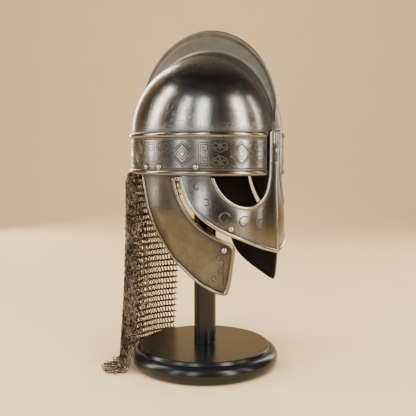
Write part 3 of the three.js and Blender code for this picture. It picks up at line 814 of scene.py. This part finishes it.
class HELMET_OT_bowl(bpy.types.Operator):
    """Raise the domed bowl with its tongue behind the nasal bar"""

    bl_idname = "helmet.bowl"
    bl_label = "Bowl"

    def execute(self, context):
        sheet = context.scene.helmet_sizes.sheet / MM
        jumps = np.degrees(np.arcsin(np.array([TONGUE_HALF, NOTCH_HALF]) / (HALF_WIDTH - TUCK)))
        marks = [s * (j + d) for s in (-1, 1) for j in jumps for d in (-0.02, 0.02)]
        angles = np.unique(np.concatenate([np.linspace(-180, 180, 241)[:-1], marks]))
        turn = np.radians(angles)
        across = (HALF_WIDTH - TUCK) * np.abs(np.sin(turn))
        front = np.abs(angles) < 90
        edge = np.select(
            [front & (across < TONGUE_HALF), front & (across < NOTCH_HALF)],
            [TONGUE_LOW, NOTCH_HIGH], BOWL_EDGE)
        sides = []
        for depth in (0.0, sheet):
            half_length, half_width = HALF_LENGTH - TUCK - depth, HALF_WIDTH - TUCK - depth
            crown = BOWL_TOP - depth - BOWL_SPRING
            levels = [(1.0, edge * (1 - s) + BOWL_SPRING * s) for s in np.linspace(0, 1, 9)]
            levels += [
                (max(math.cos(r), 1e-4), np.full(len(angles), BOWL_SPRING + crown * math.sin(r)))
                for r in np.radians(np.linspace(0, 90, 61))[1:]
            ]
            sides.append(np.array([
                np.stack([
                    -half_width * k * np.sin(turn), CENTRE_Y - half_length * k * np.cos(turn), z,
                ], axis=-1)
                for k, z in levels
            ]))
        # painted shade: darker just above the band, along the comb's foot and towards the crown
        x, z = np.abs(sides[0][..., 0]), sides[0][..., 2]
        by_comb = np.exp(-np.clip(x - 9.0, 0, None) / 9.0) * (z > 350)
        dark = 0.75 * near(z, BOWL_SPRING, 5) + 0.95 * by_comb
        dark = dark + 0.3 * smooth((z - 415) / 35)
        shape = Shape()
        shape.grid(sides[0], 0, np.clip(dark, 0, 0.95), loop=True, turned=True)
        # the bowl's inner side takes the inside finish, painted shade
        shape.grid(sides[1], 1, 0.5, loop=True)
        shape.grid(np.stack([sides[1][0], sides[0][0]]), 0, 0.6, loop=True, turned=True)
        piece = shape.build("bowl_shell", [finish("polished"), finish("inside")])
        place(piece, "bowl")
        return {"FINISHED"}


class HELMET_OT_comb(bpy.types.Operator):
    """Stand the comb along the bowl's middle line"""

    bl_idname = "helmet.comb"
    bl_label = "Comb"

    def execute(self, context):
        sizes = context.scene.helmet_sizes
        web, rim = sizes.comb_web / MM, sizes.comb_rim / MM
        tip, end_run, foot_half, bowl_curve = 8.0, 13.0, 9.5, 82.0
        profile = spline([
            (0, foot_half), (0.03, foot_half * 0.86), (0.09, foot_half * 0.5), (0.2, web * 1.25),
            (0.4, web), (0.66, web), (0.83, web * 1.02), (0.87, rim * 0.97), (0.92, rim),
            (0.97, rim * 0.92), (1.0, rim * 0.45), (1.001, 0.0),
        ], 46, squeeze=30.0)
        rise, reach = BOWL_TOP - BOWL_SPRING + 0.1, HALF_LENGTH - TUCK + 0.1
        rings, shades = [], []
        for station in np.linspace(tip, 180 - tip, 201):
            turn = math.radians(station)
            foot = np.array([-reach * math.cos(turn), rise * math.sin(turn)])
            normal = foot / np.array([reach ** 2, rise ** 2])
            normal /= np.linalg.norm(normal)
            foot = foot + [CENTRE_Y, BOWL_SPRING]
            away = foot - [0, COMB_CENTRE]
            along = away @ normal
            to_rim = -along + math.sqrt(along ** 2 - away @ away + COMB_RADIUS ** 2)
            from_end = min(station - tip, 180 - tip - station)
            grow = float(smooth(0.08 + 0.92 * from_end / end_run))
            height = max(1.2, to_rim * (0.45 + 0.55 * grow))
            widen = 0.3 + 0.7 * grow
            ring, shade = [], []
            for side in (1, -1):
                rows = profile if side > 0 else profile[-2::-1]
                for up, out in rows:
                    share = min(up, 1.0)
                    wide = out * widen
                    drop = wide ** 2 / (2 * bowl_curve) * max(0.0, 1 - share * 20) * math.sin(turn)
                    at = foot + normal * (share * height - drop - 0.12 * (up <= 0))
                    ring.append((side * wide, at[0], at[1]))
                    # painted shade: darker under the rim, at the foot's flare and towards both ends
                    shade.append(0.85 * near(share, 0.78, 0.05) + 0.5 * near(share, 0.12, 0.05)
                                 + 0.45 * abs(station - 105) / 80 + 0.12)
            rings.append(ring)
            shades.append(shade)
        shape = Shape()
        shape.grid(np.array(rings), 0, np.clip(np.array(shades), 0, 0.95), loop=True)
        count = len(rings[0])
        shape.close_ends(0, (len(rings) - 1) * count, count)
        place(shape.build("comb_blade", [finish("comb")], closed=True), "comb")
        return {"FINISHED"}


class HELMET_OT_band(bpy.types.Operator):
    """Wrap the brow band with its two beads and engraved field"""

    bl_idname = "helmet.band"
    bl_label = "Brow band"

    def execute(self, context):
        sizes = context.scene.helmet_sizes
        sheet, bead, proud = sizes.sheet / MM, sizes.bead / MM, sizes.bead_proud / MM
        first = math.degrees(math.asin(BAND_END / HALF_WIDTH))
        turns = np.radians(np.linspace(-90, 90, 15))
        field = np.linspace(LOWER_BEAD + bead, UPPER_BEAD - bead, 22)[1:-1]
        # each row ends in its painted shade: dark at the foot and top of each bead, 0.7 on the
        # hidden inner rows
        rows = [(LOWER_BEAD - bead, -sheet, 0, 0.7)]
        rows += [(LOWER_BEAD + bead * math.sin(t), proud * math.cos(t), LOWER_BEAD,
                  0.95 if t < -0.75 else 0.75 if t > 1.3 else 0.0) for t in turns]
        rows += [(z, 0.0, 0, 0) for z in field]
        rows += [(UPPER_BEAD + bead * math.sin(t), proud * math.cos(t), UPPER_BEAD,
                  0.95 if t < -0.95 else 0.3 if t > 1.3 else 0.0) for t in turns]
        rows += [(UPPER_BEAD + bead, -sheet, 0, 0.7), (315.0, -sheet, 0, 0.7)]
        ends = np.array([0.0, 0.15, 0.4, 0.8, 1.3, 1.8])
        middle_turns = np.linspace(first + 2.2, 360 - first - 2.2, 420)
        angles = np.concatenate([first + ends, middle_turns, (360 - first - ends)[::-1]])
        places = rivet_places(wall)
        grid, shades = [], []
        for angle in angles:
            from_end = min(angle - first, 360 - first - angle)
            size = math.sqrt(1 - (1 - min(1.0, from_end / 2.2)) ** 2 * 0.85)
            signed = (angle + 180) % 360 - 180
            ring, shade = [], []
            for z, out, middle, dark in rows:
                high = middle + (z - middle) * size if middle else z
                ring.append(wall(angle, high, out * size if out > 0 else out))
                # painted shade and dirt along the field at the beads and round the rivets, and
                # painted shade towards the band's ends
                shade_and_grime = 0.0
                if not middle and out == 0:
                    shade_and_grime = 0.8 * near(z, LOWER_BEAD + bead, 2.2)
                    shade_and_grime += 0.75 * near(z, UPPER_BEAD - bead, 2.6)
                    shade_and_grime += 0.8 * float(by_rivets(np.array(signed), np.array(z), places))
                shade.append(min(0.95, dark + shade_and_grime + 0.5 * near(from_end, 0, 0.6)))
            grid.append(ring)
            shades.append(shade)
        shape = Shape()
        shape.grid(np.array(grid), 0, np.array(shades), loop=True)
        count = len(rows)
        # the band's inner rows take the inside finish, painted shade
        for i in range(len(shape.slots)):
            if i % count in (count - 3, count - 2, count - 1):
                shape.slots[i] = 1
        shape.close_ends(0, (len(grid) - 1) * count, count)
        piece = shape.build("band_strip", [finish("plate"), finish("inside")], closed=True)
        lines = Shape()
        engrave(lines, band_ornament(), wall, sizes.line / MM)
        ornament = lines.build("band_engraving", [finish("plate")])
        place(piece, "brow_band")
        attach(ornament, "root")
        return {"FINISHED"}


class HELMET_OT_face(bpy.types.Operator):
    """Cut the face plate with its bar, eye rims and rolled lower edge"""

    bl_idname = "helmet.face"
    bl_label = "Face plate"

    def execute(self, context):
        sizes = context.scene.helmet_sizes
        sheet, border, eye_rim = sizes.sheet / MM, sizes.border / MM, sizes.eye_rim / MM
        edge, eye = trace(FACE_EDGE, 220), trace(EYE_EDGE, 260)
        half = np.vstack([edge, eye])
        outline = np.vstack([half, mirrored(half)])
        places = [*rivet_places(face_wall), NASAL_RIVET]

        def shade(angles, heights):
            # painted shade: above the rolled lower edge, round the eyes and rivets, and beside the
            # middle rib
            low = np.interp(np.abs(angles), edge[:, 0], edge[:, 1])
            away = distance(
                np.abs(angles) * MM_PER_DEGREE, heights, eye[::-1][::6] * [MM_PER_DEGREE, 1])
            dark = 0.85 * near(heights, low + 4.0, 3.0)
            dark = dark + 0.8 * np.exp(-np.clip(away - 2.2, 0, None) / 2.6)
            dark = dark + 0.75 * by_rivets(angles, heights, places)
            dark = dark + 0.6 * near(np.abs(angles), 1.9, 0.8)
            return np.clip(dark, 0, 0.95)

        shape = Shape()
        plate(shape, outline, face_wall, sheet, shade)
        low = edge[edge[:, 1] < UNDER_BAND - border - 0.6]
        angle, height = np.vstack([mirrored(low)[:-1], low]).T
        path = face_wall(angle, height + 1.2, -sheet / 2)
        rod(shape, path, normal_on(face_wall, angle, height), border, under=0.9, back=1)
        for sign in (1, -1):
            rim = eye[(eye[:, 1] < UNDER_BAND - eye_rim - 0.6) | (eye[:, 0] < 20)] * [sign, 1]
            rod_on(shape, rim, face_wall, -sheet / 2, eye_rim, under=0.5, back=1)
        rib = np.array([(0.0, z) for z in np.linspace(303, 183, 90)])
        rod_on(shape, rib, face_wall, -0.2, 2.4, sides=14)
        for x in (-6.4, 0.0, 6.4):
            angle = math.degrees(math.asin(x / HALF_WIDTH))
            flute = np.array([(angle, z) for z in np.linspace(343.6, 330, 24)])
            rod_on(shape, flute, face_wall, -0.4, 1.7, sides=12)
        engrave(shape, face_ornament(), face_wall, sizes.line / MM * 1.45)
        materials = [finish("plate"), finish("inside"), finish("border")]
        piece = shape.build("face_guard_plate", materials)
        place(piece, "face_plate")
        return {"FINISHED"}


class HELMET_OT_guards(bpy.types.Operator):
    """Hang both cheek guards with their raised borders"""

    bl_idname = "helmet.guards"
    bl_label = "Cheek guards"

    def execute(self, context):
        sizes = context.scene.helmet_sizes
        sheet, border = sizes.sheet / MM, sizes.border / MM
        outline = trace(GUARD_EDGE, 420)
        low = outline[outline[:, 1] < UNDER_BAND - border - 0.6]
        to_middle = (np.array([75, 200]) - low) * [2, 1]
        to_middle /= np.linalg.norm(to_middle, axis=1, keepdims=True)

        def inward(reach):
            return low + to_middle * reach * [0.5, 1]

        def shade(angles, heights):
            # painted shade: inside the rolled border, round the rivets and under the band
            away_from_edge = distance(
                angles * MM_PER_DEGREE, heights, low[::6] * [MM_PER_DEGREE, 1])
            dark = 0.9 * np.exp(-np.clip(away_from_edge - 3.6, 0, None) / 3.6)
            dark = dark + 0.7 * by_rivets(angles, heights, rivet_places(guard_wall))
            dark = dark + 0.5 * near(heights, UNDER_BAND, 6)
            return np.clip(dark, 0, 0.95)

        for name, sign in (("right", 1), ("left", -1)):
            shape = Shape()
            plate(shape, outline, guard_wall, sheet, shade)
            thick, thin = inward(1.4), inward(-0.9)
            normals = normal_on(guard_wall, *thick.T)
            rod(shape, guard_wall(*thick.T, -sheet / 2), normals, border, under=0.6, back=1)
            rod(shape, guard_wall(*thin.T, -sheet / 2), normals, 1.2, sides=10, slot=3, back=1)
            engrave(shape, guard_ornament(), guard_wall, sizes.line / MM)
            if sign < 0:
                shape.points = [p * [-1, 1, 1] for p in shape.points]
                shape.faces = [face[::-1] for face in shape.faces]
            piece = shape.build(f"guard_{name}_plate", [
                finish("worn"), finish("inside"), finish("tan"), finish("border")])
            place(piece, f"cheek_guard_{name}")
        return {"FINISHED"}


class HELMET_OT_rivets(bpy.types.Operator):
    """Set the domed rivets through the plates"""

    bl_idname = "helmet.rivets"
    bl_label = "Rivets"

    def execute(self, context):
        sizes = context.scene.helmet_sizes
        radius, height = sizes.rivet / MM, sizes.rivet_height / MM
        shank, burr = 2.0, 3.4
        places = [("rivet_nasal", *NASAL_RIVET, face_wall)]
        for name, angle, z, surface in RIVETS:
            places += [(f"{name}_right", angle, z, surface), (f"{name}_left", -angle, z, surface)]
        for name, angle, z, surface in places:
            through_band = surface is wall or name == "rivet_nasal"
            deep = 3.55 if through_band else 1.6
            dome = [(radius * math.cos(t), 0.3 + height * math.sin(t))
                    for t in np.radians(np.linspace(0, 90, 11))]
            dome[-1] = (0.01, dome[-1][1])
            profile = [
                (0.01, -deep - 1.25), (2.4, -deep - 1.0), (burr, -deep - 0.35),
                (shank, -deep - 0.35), (shank, 0.05), (radius - 0.25, 0.05), (radius, 0.12), *dome,
            ]
            # painted shade on the hidden shank and burr and round the foot of the head
            dark = [0.9] * 6 + [0.95, 0.7, 0.25] + [0.0] * 9
            normal = Vector(normal_on(surface, np.array([angle]), np.array([z]))[0])
            turn = np.array(normal.to_track_quat("Z", "Y").to_matrix())
            shape = Shape()
            lathe(shape, profile, 28, tarnish=dark, shift=surface(angle, z), turn=turn)
            place(shape.build(f"{name}_head", [finish("rivet")], closed=True), name)
        return {"FINISHED"}


def mail_place(across, down):
    """A point of the curtain's middle surface, from shares across and a length down."""
    straight_run = MAIL_TOP - MAIL_LOW - MAIL_BEND
    lying = down > straight_run
    height = np.where(lying, 0.0, MAIL_TOP - down)
    flare = MAIL_FLARE * np.clip((270 - height) / 255, 0, 1) ** 2
    out = 3.5 + 3.5 * smooth((MAIL_TOP - height) / 16) + flare
    turn = np.minimum(np.maximum(down - straight_run, 0) / MAIL_BEND, np.pi / 2)
    run = np.maximum(0, down - straight_run - MAIL_BEND * np.pi / 2)
    foot = 7 + MAIL_FLARE * ((270 - MAIL_LOW - MAIL_BEND) / 255) ** 2
    height = np.where(lying, MAIL_LOW + MAIL_BEND - MAIL_BEND * np.sin(turn), height)
    out = np.where(lying, foot + MAIL_BEND - MAIL_BEND * np.cos(turn) + run, out)
    near_edge = np.interp(height, *np.transpose(MAIL_EDGE))
    far_edge = np.interp(height, *np.transpose(MAIL_FAR_EDGE))
    return wall(near_edge + (far_edge - near_edge) * across, height, out)


def ring_tree(ring, wire, material):
    """Geometry Nodes that put a wire ring on every point and make them real."""
    tree = bpy.data.node_groups.new("mail_rings", "GeometryNodeTree")
    tree.interface.new_socket("Geometry", in_out="INPUT", socket_type="NodeSocketGeometry")
    values = {}
    for name, value in (("Ring radius", ring), ("Wire radius", wire)):
        socket = tree.interface.new_socket(name, in_out="INPUT", socket_type="NodeSocketFloat")
        values[socket.identifier] = value
    tree.interface.new_socket("Geometry", in_out="OUTPUT", socket_type="NodeSocketGeometry")

    def node(kind, settings=None, **sockets):
        made = tree.nodes.new(kind)
        for key, value in (settings or {}).items():
            setattr(made, key, value)
        for key, value in sockets.items():
            socket = made.inputs[key.replace("_", " ")]
            if isinstance(value, bpy.types.NodeSocket):
                tree.links.new(value, socket)
            else:
                socket.default_value = value
        return made.outputs

    start = node("NodeGroupInput")
    circle = node("GeometryNodeCurvePrimitiveCircle", Resolution=12, Radius=start["Ring radius"])
    section = node("GeometryNodeCurvePrimitiveCircle", Resolution=5, Radius=start["Wire radius"])
    sweep = node("GeometryNodeCurveToMesh", Curve=circle["Curve"], Profile_Curve=section["Curve"])
    turn = node("GeometryNodeInputNamedAttribute", {"data_type": "FLOAT_VECTOR"}, Name="turn")
    spread = node(
        "GeometryNodeInstanceOnPoints", Points=start["Geometry"], Instance=sweep["Mesh"],
        Rotation=turn["Attribute"])
    real = node("GeometryNodeRealizeInstances", Geometry=spread["Instances"])
    paint = node("GeometryNodeSetMaterial", Geometry=real["Geometry"], Material=material)
    soft = node("GeometryNodeSetShadeSmooth", Geometry=paint["Geometry"])
    node("NodeGroupOutput", Geometry=soft["Geometry"])
    return tree, values


class HELMET_OT_mail(bpy.types.Operator):
    """Link the mail curtain from rings, facing rows joined by level rows"""

    bl_idname = "helmet.mail"
    bl_label = "Mail curtain"

    def execute(self, context):
        sizes = context.scene.mail_sizes
        rng = np.random.default_rng(sizes.seed)
        for name, close in (("near", True), ("far", False)):
            piece = self.link(context, f"mail_{name}_rings", self.rings(sizes, rng, close), close)
            place(piece, "mail_curtain")
        return {"FINISHED"}

    def rings(self, sizes, rng, close):
        """Each ring's place, turn and tone, row by row.

        The near part's rows lean to one side and then the other. The far part's facing rows are
        joined by level ones.
        """
        if close:
            first, last, columns = 0.0, sizes.parting, sizes.close_columns
            row, ring, wire = sizes.close_row / MM, sizes.close_ring / MM, sizes.close_wire / MM
        else:
            first, last, columns = sizes.parting, 1.0, sizes.columns
            row, ring, wire = sizes.row / MM / 2, sizes.ring / MM, sizes.wire / MM
        rows, k = [], 0
        while True:
            down = (2.0 if close else 3.2) + k * row
            odd = k % 2 == 1
            k += 1
            shares = first + (last - first) * (np.arange(columns) + 0.5 * odd) / (columns - 0.5)
            tail = MAIL_TAIL * (1 - smooth((shares - 0.1) / 0.28)) * smooth(0.55 + shares * 4)
            keep = (down < MAIL_TOP - MAIL_LOW + tail - 1.5) & (shares <= 1.0)
            if not keep.any():
                return rows
            for share in shares[keep]:
                here = mail_place(share, down)
                along = mail_place(share + 0.004, down) - mail_place(share - 0.004, down)
                pitch = np.linalg.norm(along) / 0.008 * (last - first) / (columns - 0.5)
                along /= np.linalg.norm(along)
                hang = mail_place(share, down + 0.5) - mail_place(share, down - 0.5)
                hang -= along * (hang @ along)
                hang /= np.linalg.norm(hang)
                out = np.cross(along, hang)
                out /= np.linalg.norm(out)
                lying = here[2] < 12
                if close:
                    lean = (-1 if odd else 1) * rng.normal(0.62, 0.12) * (0.5 if lying else 1.0)
                    tip = rng.normal(0.2, 0.12)
                else:
                    facing = math.acos(min(1.0, pitch / (2 * ring + 1.2)))
                    level = 0.35 if lying else math.radians(66)
                    lean = rng.normal(0, 0.12) if odd else facing
                    tip = level if odd else rng.normal(0, 0.1)
                basis = Matrix((along, hang, out)).transposed()
                basis = basis @ Matrix.Rotation(tip, 3, "X") @ Matrix.Rotation(lean, 3, "Y")
                where = here + rng.normal(0, 0.18, 3)
                if lying:
                    reach = (ring + wire) * (abs(math.sin(tip)) + abs(math.sin(lean)) * 0.6)
                    where[2] = max(where[2], 1.2 + reach)
                # a random share of painted glint against painted shade for this ring
                tone = float(np.clip(rng.normal(0.5, 0.25), 0, 1))
                rows.append((where, tuple(basis.to_euler()), tone))

    def link(self, context, name, rows, close):
        """Makes the rings of one part of the curtain as a plain mesh."""
        sizes = context.scene.mail_sizes
        ring, wire = (sizes.close_ring, sizes.close_wire) if close else (sizes.ring, sizes.wire)
        points, turns, tones = zip(*rows)
        mesh = bpy.data.meshes.new("ring_places")
        mesh.from_pydata(np.array(points) * MM, [], [])
        layer = mesh.attributes.new("turn", "FLOAT_VECTOR", "POINT")
        layer.data.foreach_set("vector", np.array(turns).ravel())
        layer = mesh.attributes.new("ring_tone", "FLOAT", "POINT")
        layer.data.foreach_set("value", tones)
        holder = add_object("ring_holder", mesh)
        tree, values = ring_tree(ring, wire, finish("mail"))
        modifier = holder.modifiers.new("rings", "NODES")
        modifier.node_group = tree
        for identifier, value in values.items():
            modifier[identifier] = value
        graph = context.evaluated_depsgraph_get()
        made = bpy.data.meshes.new_from_object(holder.evaluated_get(graph))
        made.name = name
        bpy.data.objects.remove(holder)
        floor = MAIL_FLOOR * MM
        lowest = min(v.co.z for v in made.vertices)
        for v in made.vertices:
            if v.co.z < floor:
                v.co.z = floor + (v.co.z - lowest) * 0.1
        return add_object(name, made)


class HELMET_OT_stand(bpy.types.Operator):
    """Turn the black base and its post"""

    bl_idname = "helmet.stand"
    bl_label = "Stand"

    def execute(self, context):
        sizes = context.scene.stand_sizes
        ring, post, groove = sizes.base_ring / MM, sizes.post / MM, sizes.groove / MM
        centre, high, top, face = 96.5, ring - 1.0, BASE_TOP, 96.4
        lowest = math.asin(-high / ring)
        rim = [(centre + ring * math.cos(t), high + ring * math.sin(t))
               for t in np.linspace(lowest, math.radians(76), 40)]
        rim[0] = (rim[0][0], 0.0)
        step = [
            (face + 3.0, top - 3.6), (face + 2.2, top - 3.9 - groove * 0.3),
            (face + 1.2, top - 3.0), (face + 0.6, top - 1.2), (face - 0.2, top - 0.35),
            (face - 1.2, top),
        ]
        flat = [(r, top) for r in np.linspace(face - 2.5, 0.01, 30)]
        under = [(0.01, 0.0), (rim[0][0] - 2, 0.0)]
        shape = Shape()
        lathe(shape, [*under, *rim, *step, *flat], 160)
        base = shape.build("stand_foot", [finish("paint")], closed=True)
        place(base, "stand_base")
        crown, head, curve = BOWL_TOP - 1.95, 44.0, 62.0
        cap = [
            (r, crown - 0.2 - curve + math.sqrt(curve ** 2 - r ** 2))
            for r in np.linspace(head, 0.01, 22)
        ]
        shoulder = cap[0][1]
        body = [
            (0.01, top + 0.1), (post + 0.8, top + 0.1), (post + 0.9, top + 0.9), (post, top + 1.8),
        ]
        body += [(post, z) for z in np.linspace(top + 4, shoulder - 20, 24)]
        body += [(post + 1.5, shoulder - 18), (head * 0.5, shoulder - 12),
                 (head * 0.8, shoulder - 7),
                 (head - 0.6, shoulder - 4), (head, shoulder - 2.5)]
        shape = Shape()
        lathe(shape, [*body, *cap], 96)
        piece = shape.build("stand_column", [finish("paint")], closed=True)
        place(piece, "stand_post")
        return {"FINISHED"}


def softbox(name, at, towards, wide, tall, power, tint, mirrored_in_steel=True):
    data = bpy.data.lights.new(name, "AREA")
    data.shape, data.size, data.size_y = "RECTANGLE", wide, tall
    data.energy, data.color = power, tint
    light = add_object(name, data)
    light.location = at
    light.visible_glossy = mirrored_in_steel
    light.rotation_euler = (Vector(towards) - Vector(at)).to_track_quat("-Z", "Y").to_euler()


def camera_turn():
    """The camera's turn, from the row and the column named at the top."""
    pitch = math.atan((PICTURE / 2 - HORIZON) / FOCAL)
    yaw = math.atan((MIDDLE - PICTURE / 2) / FOCAL * math.cos(pitch))
    azimuth = math.radians(-56)
    view = Vector((-math.sin(azimuth), math.cos(azimuth), 0))
    right = Vector((math.cos(azimuth), math.sin(azimuth), 0))
    ahead = math.cos(-yaw) * view + math.sin(-yaw) * right
    beside = -math.sin(-yaw) * view + math.cos(-yaw) * right
    ahead = math.cos(pitch) * ahead + Vector((0, 0, -math.sin(pitch)))
    return Matrix((beside, beside.cross(ahead), -ahead)).transposed().to_4x4()


class HELMET_OT_stage(bpy.types.Operator):
    """Lay the floor, place the lights and the camera"""

    bl_idname = "helmet.stage"
    bl_label = "Stage"

    def execute(self, context):
        away = Vector((0.829, 0.559, 0.0))
        side = Vector((0.559, -0.829, 0.0))
        bend = np.linspace(0.1, math.pi / 2, 14)
        section = [(-3.0, 0.0), (1.6, 0.0)]
        section += [(1.6 + 0.9 * math.sin(t), 0.9 - 0.9 * math.cos(t)) for t in bend]
        section += [(2.5, 4.0)]
        points = [away * d + Vector((0, 0, h)) + side * s for s in (-4.5, 4.5) for d, h in section]
        count = len(section)
        faces = [[count + i, count + i + 1, i + 1, i] for i in range(count - 1)]
        mesh = bpy.data.meshes.new("floor")
        mesh.from_pydata(points, [], faces)
        mesh.polygons.foreach_set("use_smooth", [True] * len(faces))
        mesh.materials.append(finish("floor"))
        add_object("floor", mesh)

        world = bpy.data.worlds.new("studio")
        world.use_nodes = True
        background = world.node_tree.nodes["Background"]
        background.inputs["Color"].default_value = (0.86, 0.8, 0.72, 1)
        background.inputs["Strength"].default_value = 0.045
        context.scene.world = world

        warm, cool = (1.0, 0.93, 0.82), (0.86, 0.93, 1.0)
        # angle round the helmet, distance, height, width, length, power and tint
        for name, turn, distant, height, wide, tall, power, tint in (
            ("strip_left", 146, 1.35, 0.85, 0.26, 1.4, 20, warm),
            ("strip_cool_rear", 103, 1.5, 0.85, 0.2, 1.4, 11, cool),
            ("strip_cool_front", 76, 1.5, 0.95, 0.3, 1.3, 14, cool),
            ("strip_bright", 17, 1.4, 0.85, 0.3, 1.4, 24, warm),
            ("strip_thin", -14, 1.5, 0.85, 0.08, 1.4, 6, warm),
            ("back_left", -150, 1.6, 0.85, 0.3, 1.3, 14, warm),
            ("back_right", -75, 1.6, 0.85, 0.35, 1.3, 14, warm),
        ):
            r = math.radians(turn)
            at = (-distant * math.sin(r), -distant * math.cos(r), height)
            softbox(name, at, (0, 0, 0.32), wide, tall, power, tint)
        softbox("backdrop_wash", (-0.3, -0.3, 2.4), (2.2, 1.5, 0.7), 1.2, 1.2, 55, warm, False)
        softbox("overhead", (-0.2, -0.1, 2.2), (0, 0, 0.1), 1.8, 1.8, 38, warm, False)

        data = bpy.data.cameras.new("camera")
        data.sensor_width, data.lens = 36.0, 36.0 * FOCAL / PICTURE
        data.clip_start, data.clip_end = 0.02, 50.0
        camera = add_object("camera", data)
        camera.matrix_world = Matrix.Translation((-0.7876, -0.5312, 0.3205)) @ camera_turn()
        context.scene.camera = camera
        return {"FINISHED"}


class HELMET_PT_panel(bpy.types.Panel):
    """Lists the pieces and their sizes"""

    bl_idname = "HELMET_PT_panel"
    bl_label = "Crested Helmet"
    bl_space_type = "VIEW_3D"
    bl_region_type = "UI"
    bl_category = "Helmet"

    def draw(self, context):
        for step in STEPS:
            self.layout.operator(step.bl_idname)
        for group in (context.scene.helmet_sizes, context.scene.mail_sizes,
                      context.scene.stand_sizes, context.scene.helmet_colours):
            box = self.layout.box()
            for name in group.bl_rna.properties.keys():
                if name not in ("rna_type", "name"):
                    box.prop(group, name)


GROUPS = {
    "helmet_sizes": HelmetSizes, "mail_sizes": MailSizes,
    "stand_sizes": StandSizes, "helmet_colours": HelmetColours,
}
STEPS = (
    HELMET_OT_stage, HELMET_OT_bowl, HELMET_OT_comb, HELMET_OT_band, HELMET_OT_face,
    HELMET_OT_guards, HELMET_OT_rivets, HELMET_OT_mail, HELMET_OT_stand,
)


def register():
    for group in (*GROUPS.values(), *STEPS, HELMET_PT_panel):
        bpy.utils.register_class(group)
    for name, group in GROUPS.items():
        setattr(bpy.types.Scene, name, PointerProperty(type=group))


def unregister():
    for name in GROUPS:
        delattr(bpy.types.Scene, name)
    for group in reversed((*GROUPS.values(), *STEPS, HELMET_PT_panel)):
        bpy.utils.unregister_class(group)


def main():
    register()
    for step in STEPS:
        area, name = step.bl_idname.split(".")
        getattr(getattr(bpy.ops, area), name)()


if __name__ == "__main__":
    main()
